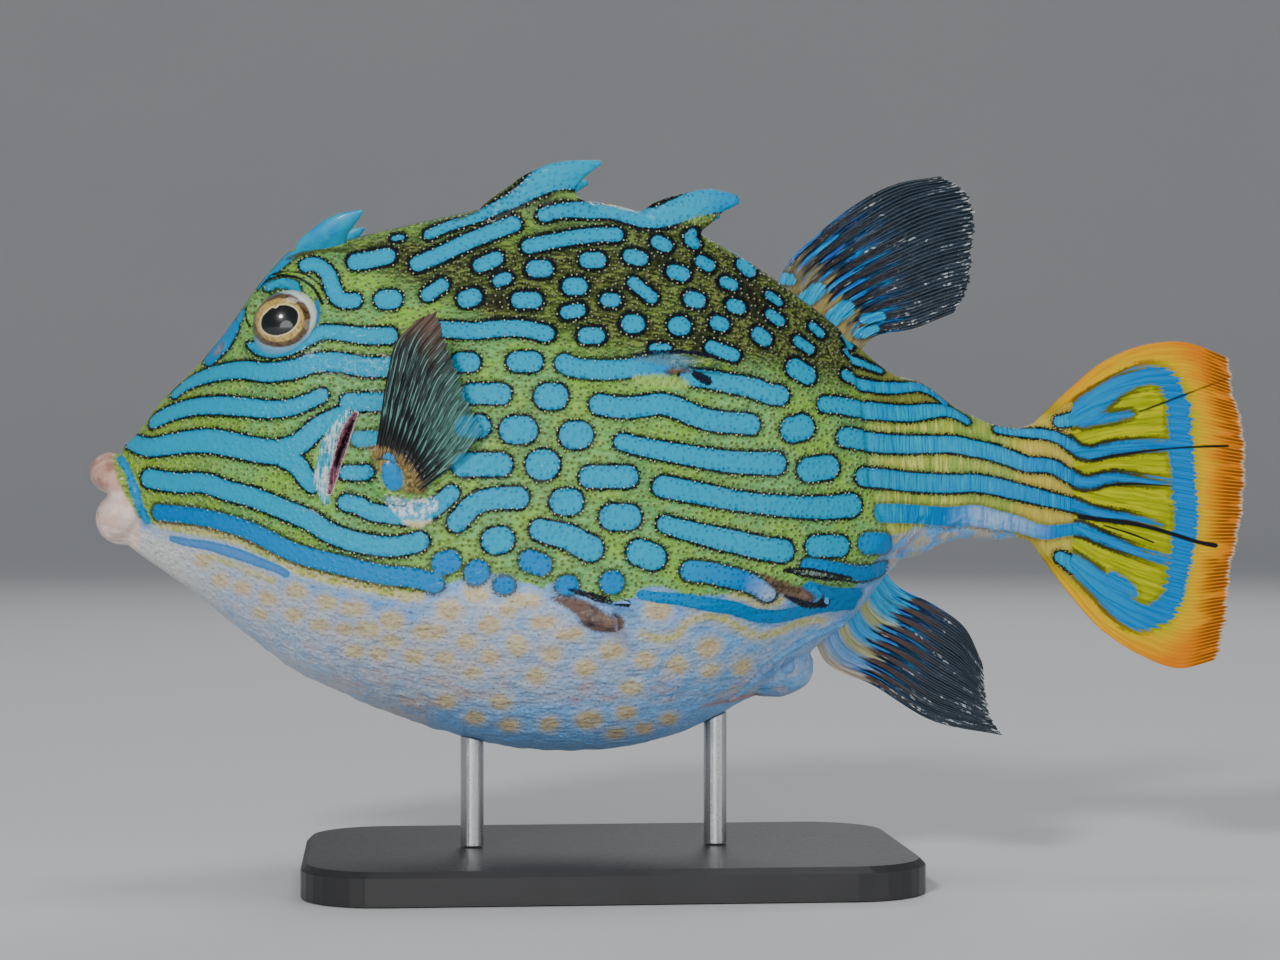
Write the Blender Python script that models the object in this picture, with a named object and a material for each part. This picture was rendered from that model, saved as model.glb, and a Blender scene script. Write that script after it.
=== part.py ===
# Shaw's cowfish, male, as a life-size still model on a display stand.
# The head points to -X, the fish's left side to -Y, and +Z is up.
# Sizes below are in millimetres. Heights are measured from the body's long
# axis, which lies AXIS_HEIGHT above the floor; objects are made in metres.

import math

import bmesh
import bpy
import numpy as np
from mathutils import Matrix, Vector

MM = 0.001
AXIS_HEIGHT = 62.0
GAP = 0.3

# Body stations from the snout to the tail root.
# x, back, keel, half width, shoulder y, side ridge, low ridge, angular
STATIONS = (
    (-85.5, 5.2, -9.4, 4.4, 2.4, 0.0, -4.2, 0.0),
    (-83.4, 7.2, -11.2, 6.0, 3.2, 1.0, -5.0, 0.0),
    (-80.0, 11.8, -13.6, 9.0, 4.8, 3.0, -6.5, 0.05),
    (-75.0, 16.9, -17.0, 13.2, 6.8, 7.0, -8.2, 0.15),
    (-70.0, 22.6, -21.2, 16.8, 8.8, 11.0, -9.8, 0.35),
    (-65.0, 29.5, -25.2, 19.8, 10.6, 14.5, -11.4, 0.6),
    (-60.0, 34.8, -29.0, 22.3, 12.0, 16.4, -12.8, 0.8),
    (-52.0, 36.2, -33.0, 24.8, 12.9, 17.0, -14.6, 0.95),
    (-38.0, 39.4, -38.5, 27.2, 13.2, 16.9, -16.5, 1.0),
    (-18.0, 42.5, -42.2, 28.2, 12.8, 16.5, -17.0, 1.0),
    (2.0, 37.8, -38.8, 26.2, 11.6, 16.2, -15.8, 1.0),
    (12.0, 32.4, -33.5, 23.0, 9.8, 15.2, -14.0, 1.0),
    (20.0, 26.9, -27.6, 18.8, 7.4, 12.8, -12.8, 1.0),
    (28.0, 20.8, -21.2, 13.4, 4.8, 9.4, -11.4, 0.8),
    (34.0, 16.8, -13.4, 9.4, 3.3, 7.0, -8.6, 0.45),
    (38.0, 15.6, -11.8, 7.4, 2.6, 5.6, -6.8, 0.25),
    (44.0, 11.6, -9.4, 5.6, 2.0, 4.0, -5.0, 0.1),
    (50.0, 8.9, -9.5, 4.3, 1.5, 3.2, -4.2, 0.0),
    (56.0, 8.7, -9.9, 3.4, 1.2, 3.0, -4.0, 0.0),
)
STATION_TABLE = np.array(STATIONS)
RINGS_PER_SPAN = 2
POINTS_PER_FACET = 3

# The half section has seven corners, from the back (0) to the keel (6).
SIDE_RIDGE_WIDTH = 0.9
SHOULDER_DROP = 0.055
KEEL_CORNERS = ((0.70, 0.52), (0.35, 0.865))
CORNER_TENSION = (1.0, 0.45, 0.5, 0.45, 1.0, 1.0, 0.5)
CORNER_ANGLES = (0.0, 25.0, 62.0, 112.0, 138.0, 162.0, 180.0)

# Planes that part the body: x where the plane meets the axis, and lean in x
# for each millimetre of height.
GILL_PLANE = (-55.3, 0.096)
RIM_PLANE = (31.5, -0.13)

# Lips: front centre x and height, mouth corner x, y and height, tube radius.
UPPER_LIP = {"front": (-87.6, 1.2), "corner": (-82.4, 4.9, -0.6), "radius": 3.1}
LOWER_LIP = {"front": (-85.7, -5.9), "corner": (-81.0, 5.3, -3.6), "radius": 4.1}
MOUTH_LINE = -1.8

# Eye: place on the flank, ball radius and how far its centre is sunk.
EYE_X = -61.2
EYE_HEIGHT = 23.9
EYE_RADIUS = 6.0
EYE_SUNK = 3.7
CORNEA_RISE = 0.45
LID_RADIUS = 5.5
LID_THICKNESS = 1.0

NOSTRIL = {"x": -70.6, "height": 19.4, "radius": 0.75}
GILL_SLIT = {"x": -51.5, "height": 3.0, "half": (0.6, 2.2, 6.6), "lean": 16.0}
GILL_FLAP = {"x": -52.8, "height": 3.2, "half": (1.0, 0.9, 6.0), "lean": 16.0}
VENT_LOBE = {"x": 15.3, "height": -29.4, "half": (6.3, 5.4, 4.6)}

# Horns and spines are lofts. Each section is front x, front height, rear x,
# rear height, half thickness and y of its middle; the last row is the tip.
HORN = (
    (-58.2, 31.6, -51.8, 32.4, 0.8, 9.8),
    (-58.9, 33.6, -51.4, 34.2, 1.2, 10.9),
    (-58.7, 35.4, -51.3, 35.8, 1.6, 12.0),
    (-57.2, 37.0, -51.1, 36.9, 1.6, 12.9),
    (-54.6, 38.9, -50.3, 38.0, 1.3, 13.7),
    (-52.0, 40.0, -49.4, 39.2, 0.8, 14.4),
    (-48.8, 40.4, 15.1),
)
FRONT_BACK_SPINE = (
    (-34.0, 38.0, -12.5, 39.4, 2.4, 12.4),
    (-30.9, 41.4, -14.0, 41.6, 2.0, 12.9),
    (-27.8, 43.7, -16.8, 43.2, 1.5, 13.4),
    (-24.0, 46.4, -16.2, 44.6, 1.1, 13.8),
    (-19.5, 48.1, -15.2, 45.8, 0.9, 14.2),
    (-12.8, 48.2, 14.6),
)
REAR_BACK_SPINE = (
    (-8.0, 38.2, 4.2, 34.6, 2.2, 11.2),
    (-6.6, 40.8, 2.4, 37.3, 1.8, 11.5),
    (-4.6, 42.3, 4.0, 39.0, 1.4, 11.9),
    (-1.0, 43.5, 5.6, 40.5, 1.0, 12.2),
    (3.4, 44.4, 6.9, 41.3, 0.85, 12.4),
    (8.3, 42.9, 12.6),
)
# Side spines point back and out: root x and height, tip x, height and
# distance out from the flank, root half length and half height.
SIDE_SPINE = {"root": (-4.0, 17.2), "tip": (3.6, 17.4, 3.2), "half": (5.0, 1.4)}
LOW_SPINE_FRONT = {"root": (-17.2, -17.8), "tip": (-11.2, -21.4, 2.6), "half": (4.2, 2.2)}
LOW_BLADE_FRONT = {"root": (-16.4, -16.4), "tip": (-9.4, -18.1, 2.3), "half": (4.0, 0.8)}
LOW_SPINE_REAR = {"root": (14.0, -14.8), "tip": (21.8, -18.5, 4.0), "half": (4.2, 1.8)}
LOW_BLADE_REAR = {"root": (16.4, -13.6), "tip": (25.0, -15.0, 3.8), "half": (4.0, 0.7)}

# Fin outlines in the fin's own plane: x, height.
DORSAL_FIN = {
    "base": ((15.0, 27.4), (22.0, 22.6), (27.8, 18.0)),
    "first": ((15.0, 27.4), (17.2, 33.6), (22.0, 38.4), (27.4, 42.8), (34.6, 46.6), (41.4, 47.9)),
    "outer": ((41.4, 47.9), (45.6, 45.4), (46.9, 42.0), (46.5, 36.1), (45.9, 30.4), (43.9, 26.4)),
    "last": ((27.8, 18.0), (30.4, 22.0), (37.6, 23.9), (43.9, 26.4)),
    "rays": 10,
    "root": 2.1,
}
ANAL_FIN = {
    "base": ((31.2, -11.6), (27.6, -17.6), (21.2, -22.8)),
    "first": ((31.2, -11.6), (34.6, -16.4), (41.0, -19.8), (45.6, -23.2), (48.4, -28.6)),
    "outer": ((48.4, -28.6), (48.8, -34.0), (49.4, -37.2), (51.4, -40.3)),
    "last": ((21.2, -22.8), (23.2, -28.2), (31.0, -32.3), (40.6, -38.0), (51.4, -40.3)),
    "rays": 10,
    "root": 1.9,
}
TAIL_FIN = {
    "base": ((56.3, 8.7), (56.3, 0.0), (56.3, -9.9)),
    "first": ((56.3, 8.7), (62.0, 14.0), (68.0, 18.8), (74.0, 21.3), (81.0, 21.9), (88.2, 19.4)),
    "outer": (
        (88.2, 19.4),
        (88.6, 14.8),
        (90.2, 9.0),
        (90.6, 0.0),
        (89.8, -7.6),
        (88.4, -14.0),
        (87.6, -22.4),
        (86.2, -28.6),
    ),
    "last": ((56.3, -9.9), (62.0, -17.5), (68.0, -24.0), (74.0, -27.8), (80.0, -29.9), (86.2, -28.6)),
    "rays": 11,
    "root": 2.9,
}
PECTORAL_FIN = {
    "base": ((-47.0, 3.4), (-43.2, 2.2), (-40.4, -1.6)),
    "first": ((-47.0, 3.4), (-46.2, 8.6), (-45.0, 15.9), (-43.9, 19.9), (-40.9, 23.2)),
    "outer": (
        (-40.9, 23.2),
        (-38.4, 24.2),
        (-37.0, 20.6),
        (-35.0, 15.4),
        (-33.2, 10.6),
        (-31.2, 7.2),
    ),
    "last": ((-40.4, -1.6), (-37.0, 0.9), (-33.8, 3.7), (-31.2, 7.2)),
    "rays": 10,
    "root": 0.7,
}
PECTORAL_STAND_OFF = 1.7
PECTORAL_LEAN = 0.09
PECTORAL_LOBE = {"x": -43.6, "height": 0.8, "half": (4.3, 2.0, 4.5), "lean": -25.0}
FIN_EDGE = 0.27
RAY_RISE = 0.16
FIN_ROWS = 9
# A fin's flesh thins out over this share of its length, by this power, and
# its rays lose this share of their rise from root to margin.
FIN_FLESHY = 0.25
TAIL_FLESHY = 0.35
FLESH_POWER = 1.5
RAY_LOSS = 0.6

# Points round and along the small forms.
BLADE_SIDES = 10
THORN_SIDES = 8
THORN_LEVELS = 5
LID_AROUND = 24
LID_ACROSS = 6
LIP_POINTS = 15
EYE_SEGMENTS = (20, 12)
SOCKET_SEGMENTS = 24
NOSTRIL_SEGMENTS = 12
ROD_SEGMENTS = 24
BASE_CORNER_STEPS = 8

# A side spine starts this deep in the flank. Its powers: run back, rise out
# of the flank and taper; its height keeps a share of its width at the tip.
THORN_DEPTH = 2.4
THORN_BACK = 1.4
THORN_OUT = 0.85
THORN_TAPER = 0.75
THORN_KEPT = 0.3

# Share of the eyeball's reach where the clear dome starts; how far the lid
# lies under the flank; room round the eyeball beyond the gap.
CORNEA_START = 0.7
LID_SUNK = 0.5
SOCKET_ROOM = 0.2
# A lip keeps this share of its radius at the mouth's corner.
LIP_KEPT = 0.35
LIP_POWER = 0.8
MOUTH_BLOCK_HALF = 12.0
# A rod reaches this far into the keel before it is cut.
ROD_OVERLAP = 2.5

# Stand: a flat base and two short rods under the keel.
BASE_CENTRE_X = -11.0
BASE_HALF_LENGTH = 47.0
BASE_HALF_WIDTH = 29.0
BASE_THICKNESS = 5.0
BASE_CORNER = 12.0
BASE_BEVEL = 0.9
ROD_X = (-32.0, 6.0)
ROD_RADIUS = 1.8


def remove_scene_objects():
    for item in list(bpy.data.objects):
        bpy.data.objects.remove(item, do_unlink=True)


def new_collection(name):
    group = bpy.data.collections.new(name)
    bpy.context.scene.collection.children.link(group)
    return group


# Curves and sections


def slopes(xs, ys):
    """Tangent of a smooth curve at each of its points."""
    rise = np.diff(ys) / np.diff(xs)
    gaps = np.diff(xs)
    inner = (rise[:-1] * gaps[1:] + rise[1:] * gaps[:-1]) / (gaps[1:] + gaps[:-1])
    return np.concatenate(([rise[0]], inner, [rise[-1]]))


def smooth_value(xs, ys, x):
    """Cubic curve through the points (xs, ys), read at x."""
    tangents = slopes(xs, ys)
    index = int(np.clip(np.searchsorted(xs, x) - 1, 0, len(xs) - 2))
    span = xs[index + 1] - xs[index]
    t = (x - xs[index]) / span
    start = (1 + 2 * t) * (1 - t) ** 2 * ys[index] + t * (1 - t) ** 2 * span * tangents[index]
    end = t * t * (3 - 2 * t) * ys[index + 1] - t * t * (1 - t) * span * tangents[index + 1]
    return start + end


def station(x):
    """Back, keel, half width, shoulder, two ridge heights and angularity."""
    xs = STATION_TABLE[:, 0]
    return [smooth_value(xs, STATION_TABLE[:, column], x) for column in range(1, 8)]


def section_corners(x):
    """Seven corners (y, height) of the left half section, back to keel."""
    back, keel, half_width, shoulder, side_ridge, low_ridge, _ = station(x)
    corners = [
        (0.0, back),
        (shoulder, back - SHOULDER_DROP * shoulder),
        (SIDE_RIDGE_WIDTH * half_width, side_ridge),
        (half_width, low_ridge),
    ]
    for width, depth in KEEL_CORNERS:
        corners.append((width * half_width, low_ridge + depth * (keel - low_ridge)))
    corners.append((0.0, keel))
    return np.array(corners)


def facet_point(corners, u):
    """Point on the smooth line through the corners; u counts corners."""
    before = corners[1] * (-1, 1)
    after = corners[-2] * (-1, 1)
    padded = np.vstack([before, corners, after])
    index = min(int(u), len(corners) - 2)
    t = u - index
    a, b = corners[index], corners[index + 1]
    slope_a = CORNER_TENSION[index] * 0.5 * (padded[index + 2] - padded[index])
    slope_b = CORNER_TENSION[index + 1] * 0.5 * (padded[index + 3] - padded[index + 1])
    start = (1 + 2 * t) * (1 - t) ** 2 * a + t * (1 - t) ** 2 * slope_a
    end = t * t * (3 - 2 * t) * b - t * t * (1 - t) * slope_b
    return start + end


def section_point(x, u):
    """Point (y, height) of the half section at x, angular or oval."""
    back, keel, half_width, _, _, _, angular = station(x)
    angular = min(max(angular, 0.0), 1.0)
    facet = facet_point(section_corners(x), u)
    angle = math.radians(np.interp(u, range(len(CORNER_ANGLES)), CORNER_ANGLES))
    middle, half_height = (back + keel) / 2, (back - keel) / 2
    oval = np.array((half_width * math.sin(angle), middle + half_height * math.cos(angle)))
    return angular * facet + (1 - angular) * oval


def flank(x, height):
    """Half width of the body at x and height, on the side of the body."""
    low, high = 0.0, 6.0
    for _ in range(30):
        u = (low + high) / 2
        if section_point(x, u)[1] > height:
            low = u
        else:
            high = u
    return float(section_point(x, low)[0])


def flank_normal(x, height):
    """Outward direction of the left flank, with y taken as outward."""
    step = 1.0
    along = (flank(x + step, height) - flank(x - step, height)) / (2 * step)
    up = (flank(x, height + step) - flank(x, height - step)) / (2 * step)
    return Vector((-along, 1.0, -up)).normalized()


def spline_points(points, count):
    """Evenly spaced points on a smooth line through a few 2D points."""
    points = np.array(points, dtype=float)
    lengths = np.concatenate(([0.0], np.cumsum(np.linalg.norm(np.diff(points, axis=0), axis=1))))
    fine = np.linspace(0.0, lengths[-1], 120)
    line = np.array([[smooth_value(lengths, points[:, k], s) for k in (0, 1)] for s in fine])
    run = np.concatenate(([0.0], np.cumsum(np.linalg.norm(np.diff(line, axis=0), axis=1))))
    even = np.linspace(0.0, run[-1], count)
    return np.column_stack([np.interp(even, run, line[:, k]) for k in (0, 1)])


# Meshes


def make_object(name, bm, group):
    """Object in metres from a mesh drawn in millimetres about the axis."""
    bmesh.ops.recalc_face_normals(bm, faces=bm.faces)
    bm.transform(Matrix.Diagonal((MM, MM, MM, 1.0)) @ Matrix.Translation((0, 0, AXIS_HEIGHT)))
    mesh = bpy.data.meshes.new(name)
    bm.to_mesh(mesh)
    bm.free()
    item = bpy.data.objects.new(name, mesh)
    group.objects.link(item)
    return item


def loft(rings, close_start=True, close_end=True):
    """Closed mesh through rings of like point counts; a ring may be a tip."""
    bm = bmesh.new()
    rows = [[bm.verts.new(point) for point in ring] for ring in rings]
    for row, following in zip(rows, rows[1:]):
        count = len(row)
        for i in range(count):
            j = (i + 1) % count
            if len(following) == 1:
                bm.faces.new((row[i], row[j], following[0]))
            else:
                bm.faces.new((row[i], row[j], following[j], following[i]))
    if close_start:
        bm.faces.new(rows[0][::-1])
    if close_end and len(rows[-1]) > 1:
        bm.faces.new(rows[-1])
    return bm


def body_ring(x):
    """Whole section at x, once round."""
    steps = [k / POINTS_PER_FACET for k in range(6 * POINTS_PER_FACET + 1)]
    left = [section_point(x, u) for u in steps]
    ring = [(x, -y, height) for y, height in left]
    ring += [(x, y, height) for y, height in left[-2:0:-1]]
    return ring


def body_mesh(grow=0.0):
    """The whole body, snout to tail root, swollen by a small distance."""
    xs = STATION_TABLE[:, 0]
    places = []
    for start, end in zip(xs, xs[1:]):
        places += [start + (end - start) * k / RINGS_PER_SPAN for k in range(RINGS_PER_SPAN)]
    places.append(xs[-1])
    bm = loft([body_ring(x) for x in places])
    bmesh.ops.recalc_face_normals(bm, faces=bm.faces)
    if grow:
        bm.normal_update()
        moves = [vert.normal * grow for vert in bm.verts]
        for vert, move in zip(bm.verts, moves):
            vert.co += move
    return bm


def cut_by_plane(bm, plane, keep_front, shift):
    """Keep what lies before or behind a leaning plane, and close the cut."""
    x, lean = plane
    normal = Vector((1.0, 0.0, -lean)).normalized()
    geometry = bm.verts[:] + bm.edges[:] + bm.faces[:]
    cut = bmesh.ops.bisect_plane(
        bm,
        geom=geometry,
        plane_co=Vector((x + shift, 0.0, 0.0)),
        plane_no=normal,
        clear_outer=keep_front,
        clear_inner=not keep_front,
    )
    rim = [item for item in cut["geom_cut"] if isinstance(item, bmesh.types.BMEdge)]
    bmesh.ops.edgeloop_fill(bm, edges=rim)


def body_part(name, group, front=None, rear=None):
    """A length of the body between two leaning planes."""
    bm = body_mesh()
    if front:
        cut_by_plane(bm, front, False, GAP / 2)
    if rear:
        cut_by_plane(bm, rear, True, -GAP / 2)
    return make_object(name, bm, group)


def ellipsoid(name, centre, half, group, lean=0.0, segments=20, side=1):
    """Ball of three half sizes, leaning about the y axis."""
    bm = bmesh.new()
    bmesh.ops.create_uvsphere(bm, u_segments=segments, v_segments=segments // 2, radius=1.0)
    bm.transform(
        Matrix.Translation((centre[0], side * centre[1], centre[2]))
        @ Matrix.Rotation(math.radians(lean), 4, "Y")
        @ Matrix.Diagonal((half[0], half[1], half[2], 1.0))
    )
    return make_object(name, bm, group)


def evaluated_copy(item, name, group):
    """New mesh object holding another object's evaluated mesh."""
    graph = bpy.context.evaluated_depsgraph_get()
    mesh = bpy.data.meshes.new_from_object(item.evaluated_get(graph))
    copy = bpy.data.objects.new(name, mesh)
    copy.matrix_world = item.matrix_world
    group.objects.link(copy)
    return copy


def keep_largest(item):
    """Leave only the largest closed surface of an object's mesh."""
    bm = bmesh.new()
    bm.from_mesh(item.data)
    unseen = set(bm.faces)
    bodies = []
    while unseen:
        stack = [unseen.pop()]
        body = []
        while stack:
            face = stack.pop()
            body.append(face)
            for edge in face.edges:
                for other in edge.link_faces:
                    if other in unseen:
                        unseen.discard(other)
                        stack.append(other)
        bodies.append(body)
    bodies.sort(key=lambda body: sum(face.calc_area() for face in body), reverse=True)
    scraps = [face for body in bodies[1:] for face in body]
    bmesh.ops.delete(bm, geom=scraps, context="FACES")
    loose = [vert for vert in bm.verts if not vert.link_faces]
    bmesh.ops.delete(bm, geom=loose, context="VERTS")
    bm.to_mesh(item.data)
    bm.free()


def boolean(item, operation, tools):
    """Join or cut an object with a list of closed meshes, and apply it."""
    group = new_collection(item.name + "_tools")
    for tool in tools:
        for owner in list(tool.users_collection):
            owner.objects.unlink(tool)
        group.objects.link(tool)
        tool.hide_render = True
        tool.display_type = "WIRE"
    modifier = item.modifiers.new(operation.title(), "BOOLEAN")
    modifier.operation = operation
    modifier.solver = "EXACT"
    modifier.operand_type = "COLLECTION"
    modifier.collection = group
    graph = bpy.context.evaluated_depsgraph_get()
    mesh = bpy.data.meshes.new_from_object(item.evaluated_get(graph))
    item.modifiers.clear()
    item.data = mesh
    for tool in tools:
        bpy.data.objects.remove(tool, do_unlink=True)
    bpy.data.collections.remove(group)
    keep_largest(item)
    return item


def body_cutter(group):
    """The body swollen by the gap, to cut what is set against it."""
    return make_object("body_cutter", body_mesh(GAP), group)


# Materials


def material(name, colour, roughness, metallic=0.0):
    """Principled material of one colour."""
    finish = bpy.data.materials.new(name)
    finish.use_nodes = True
    shader = finish.node_tree.nodes["Principled BSDF"]
    shader.inputs["Base Color"].default_value = (*colour, 1.0)
    shader.inputs["Roughness"].default_value = roughness
    shader.inputs["Metallic"].default_value = metallic
    return finish


def finish_part(item, colour, roughness, metallic=0.0):
    item.data.materials.clear()
    item.data.materials.append(material(item.name + "_finish", colour, roughness, metallic))
    item.data.shade_smooth()
    item.data.set_sharp_from_angle(angle=math.radians(40))
    return item


HEAD_COLOUR = (0.10, 0.35, 0.30)
CARAPACE_COLOUR = (0.12, 0.30, 0.16)
PEDUNCLE_COLOUR = (0.20, 0.42, 0.35)
LIP_COLOUR = (0.62, 0.48, 0.40)
EYE_COLOUR = (0.10, 0.07, 0.02)
HORN_COLOUR = (0.02, 0.25, 0.60)
PAIRED_FIN_COLOUR = (0.06, 0.10, 0.10)
MEDIAN_FIN_COLOUR = (0.04, 0.14, 0.22)
TAIL_COLOUR = (0.80, 0.36, 0.02)
BASE_COLOUR = (0.03, 0.03, 0.03)
ROD_COLOUR = (0.60, 0.60, 0.60)
WET_ROUGHNESS = 0.4
SHELL_ROUGHNESS = 0.5
EYE_ROUGHNESS = 0.08
PAINT_ROUGHNESS = 0.35
ROD_ROUGHNESS = 0.25


# Horns and spines


def blade(name, sections, side, group):
    """Loft of lens sections that ends in a point."""
    rings = []
    for front_x, front_z, rear_x, rear_z, half_thickness, y in sections[:-1]:
        middle = Vector(((front_x + rear_x) / 2, side * y, (front_z + rear_z) / 2))
        reach = Vector(((rear_x - front_x) / 2, 0.0, (rear_z - front_z) / 2))
        ring = []
        for k in range(BLADE_SIDES):
            angle = 2 * math.pi * k / BLADE_SIDES
            point = middle + reach * math.cos(angle)
            point.y += half_thickness * math.sin(angle)
            ring.append(point)
        rings.append(ring)
    tip_x, tip_z, tip_y = sections[-1]
    rings.append([Vector((tip_x, side * tip_y, tip_z))])
    return make_object(name, loft(rings), group)


def flank_spine(name, shape, side, group):
    """Flat thorn rooted in the flank, curving back and out to its tip."""
    root_x, root_z = shape["root"]
    tip_x, tip_z, out = shape["tip"]
    half_length, half_height = shape["half"]
    root_y = flank(root_x, root_z)
    tip_y = flank(tip_x, tip_z) + out
    rings = []
    for level in range(THORN_LEVELS):
        t = level / THORN_LEVELS
        x = root_x + (tip_x - root_x) * t ** THORN_BACK
        z = root_z + (tip_z - root_z) * t
        y = (root_y - THORN_DEPTH) + (tip_y - root_y + THORN_DEPTH) * t ** THORN_OUT
        taper = (1 - t) ** THORN_TAPER
        ring = []
        for k in range(THORN_SIDES):
            angle = 2 * math.pi * k / THORN_SIDES
            ring.append((
                x + half_length * taper * math.cos(angle),
                side * y,
                z + half_height * (THORN_KEPT + (1 - THORN_KEPT) * taper) * math.sin(angle),
            ))
        rings.append(ring)
    rings.append([(tip_x, side * tip_y, tip_z)])
    return make_object(name, loft(rings), group)


# Fins


def patch_point(base, outer, first, last, t, s):
    """Point of the patch between four edges; t counts rays, s runs out."""
    rows = len(first) - 1
    columns = len(base) - 1
    i = int(round(t * columns))
    j = int(round(s * rows))
    edges = (1 - s) * base[i] + s * outer[i] + (1 - t) * first[j] + t * last[j]
    corners = (1 - t) * (1 - s) * base[0] + t * (1 - s) * base[-1]
    corners = corners + (1 - t) * s * outer[0] + t * s * outer[-1]
    return edges - corners


def fin_mesh(shape, depth, fleshy=FIN_FLESHY):
    """Fan with rays raised on both faces; depth gives y of its middle."""
    columns = 2 * shape["rays"] + 1
    base = spline_points(shape["base"], columns)
    outer = spline_points(shape["outer"], columns)
    first = spline_points(shape["first"], FIN_ROWS)
    last = spline_points(shape["last"], FIN_ROWS)
    bm = bmesh.new()
    near, far = [], []
    for j in range(FIN_ROWS):
        s = j / (FIN_ROWS - 1)
        near_row, far_row = [], []
        for i in range(columns):
            t = i / (columns - 1)
            x, z = patch_point(base, outer, first, last, t, s)
            flesh = shape["root"] * math.sqrt(max(0.0, 4 * t * (1 - t)))
            half = FIN_EDGE + max(0.0, flesh - FIN_EDGE) * max(0.0, 1 - s / fleshy) ** FLESH_POWER
            if i % 2:
                half += RAY_RISE * (1.0 - RAY_LOSS * s)
            y = depth(x, z)
            near_row.append(bm.verts.new((x, y - half, z)))
            far_row.append(bm.verts.new((x, y + half, z)))
        near.append(near_row)
        far.append(far_row)
    for j in range(FIN_ROWS - 1):
        for i in range(columns - 1):
            for grid in (near, far):
                a, b = grid[j][i], grid[j][i + 1]
                c, d = grid[j + 1][i + 1], grid[j + 1][i]
                bm.faces.new((a, b, c))
                bm.faces.new((a, c, d))
    close_fin_edge(bm, near, far)
    return bm


def close_fin_edge(bm, near, far):
    """Join the two faces of a fin all round its edge."""
    rows, columns = len(near), len(near[0])
    border = [(0, i) for i in range(columns)]
    border += [(j, columns - 1) for j in range(1, rows)]
    border += [(rows - 1, i) for i in range(columns - 2, -1, -1)]
    border += [(j, 0) for j in range(rows - 2, 0, -1)]
    for (j, i), (k, m) in zip(border, border[1:] + border[:1]):
        bm.faces.new((near[j][i], near[k][m], far[k][m]))
        bm.faces.new((near[j][i], far[k][m], far[j][i]))


def middle_plane(x, z):
    return 0.0


def make_median_fin(name, shape, colour, group):
    """Dorsal or anal fin, its root cut to the body's surface."""
    fin = make_object(name, fin_mesh(shape, middle_plane), group)
    boolean(fin, "DIFFERENCE", [body_cutter(group)])
    return finish_part(fin, colour, WET_ROUGHNESS)


def make_tail_fin(group):
    fin = make_object("tail_fin", fin_mesh(TAIL_FIN, middle_plane, TAIL_FLESHY), group)
    return finish_part(fin, TAIL_COLOUR, WET_ROUGHNESS)


def make_pectoral_fin(name, side, group):
    """Raised fan on a fleshy lobe, set against the flank."""
    lobe_x, lobe_z = PECTORAL_LOBE["x"], PECTORAL_LOBE["height"]
    root_y = flank(lobe_x, lobe_z)

    def depth(x, z):
        return side * (root_y + PECTORAL_STAND_OFF + PECTORAL_LEAN * (z - lobe_z))

    fin = make_object(name, fin_mesh(PECTORAL_FIN, depth), group)
    centre = (lobe_x, root_y + 0.3, lobe_z)
    lobe = ellipsoid("lobe", centre, PECTORAL_LOBE["half"], group, PECTORAL_LOBE["lean"], side=side)
    boolean(fin, "UNION", [lobe])
    boolean(fin, "DIFFERENCE", [body_cutter(group)])
    return finish_part(fin, PAIRED_FIN_COLOUR, WET_ROUGHNESS)


# Head


def eye_frame(side):
    """Centre and outward axis of an eyeball."""
    normal = flank_normal(EYE_X, EYE_HEIGHT)
    surface = Vector((EYE_X, flank(EYE_X, EYE_HEIGHT), EYE_HEIGHT))
    centre = surface - normal * EYE_SUNK
    return Vector((centre.x, side * centre.y, centre.z)), Vector((normal.x, side * normal.y, normal.z))


def make_eye(name, side, group):
    """Eyeball with a low clear dome over the iris."""
    centre, axis = eye_frame(side)
    bm = bmesh.new()
    around, across = EYE_SEGMENTS
    bmesh.ops.create_uvsphere(bm, u_segments=around, v_segments=across, radius=EYE_RADIUS)
    for vert in bm.verts:
        facing = max(0.0, vert.co.normalized().z - CORNEA_START) / (1 - CORNEA_START)
        vert.co *= 1.0 + CORNEA_RISE * facing / EYE_RADIUS
    turn = Vector((0, 0, 1)).rotation_difference(axis).to_matrix().to_4x4()
    bm.transform(Matrix.Translation(centre) @ turn)
    return finish_part(make_object(name, bm, group), EYE_COLOUR, EYE_ROUGHNESS)


def lid_ring(side, group):
    """Ring of skin round an eye."""
    centre, axis = eye_frame(side)
    turn = Vector((0, 0, 1)).rotation_difference(axis).to_matrix().to_4x4()
    lift = Matrix.Translation(centre + axis * (EYE_SUNK - LID_SUNK))
    rings = []
    for k in range(LID_AROUND):
        angle = 2 * math.pi * k / LID_AROUND
        ring = []
        for m in range(LID_ACROSS):
            roll = 2 * math.pi * m / LID_ACROSS
            radius = LID_RADIUS + LID_THICKNESS * math.cos(roll)
            rise = LID_THICKNESS * math.sin(roll)
            point = Vector((radius * math.cos(angle), radius * math.sin(angle), rise))
            ring.append(lift @ turn @ point)
        rings.append(ring)
    bm = loft(rings + rings[:1], close_start=False, close_end=False)
    bmesh.ops.remove_doubles(bm, verts=bm.verts, dist=0.0001)
    return make_object("lid_ring", bm, group)


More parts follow.
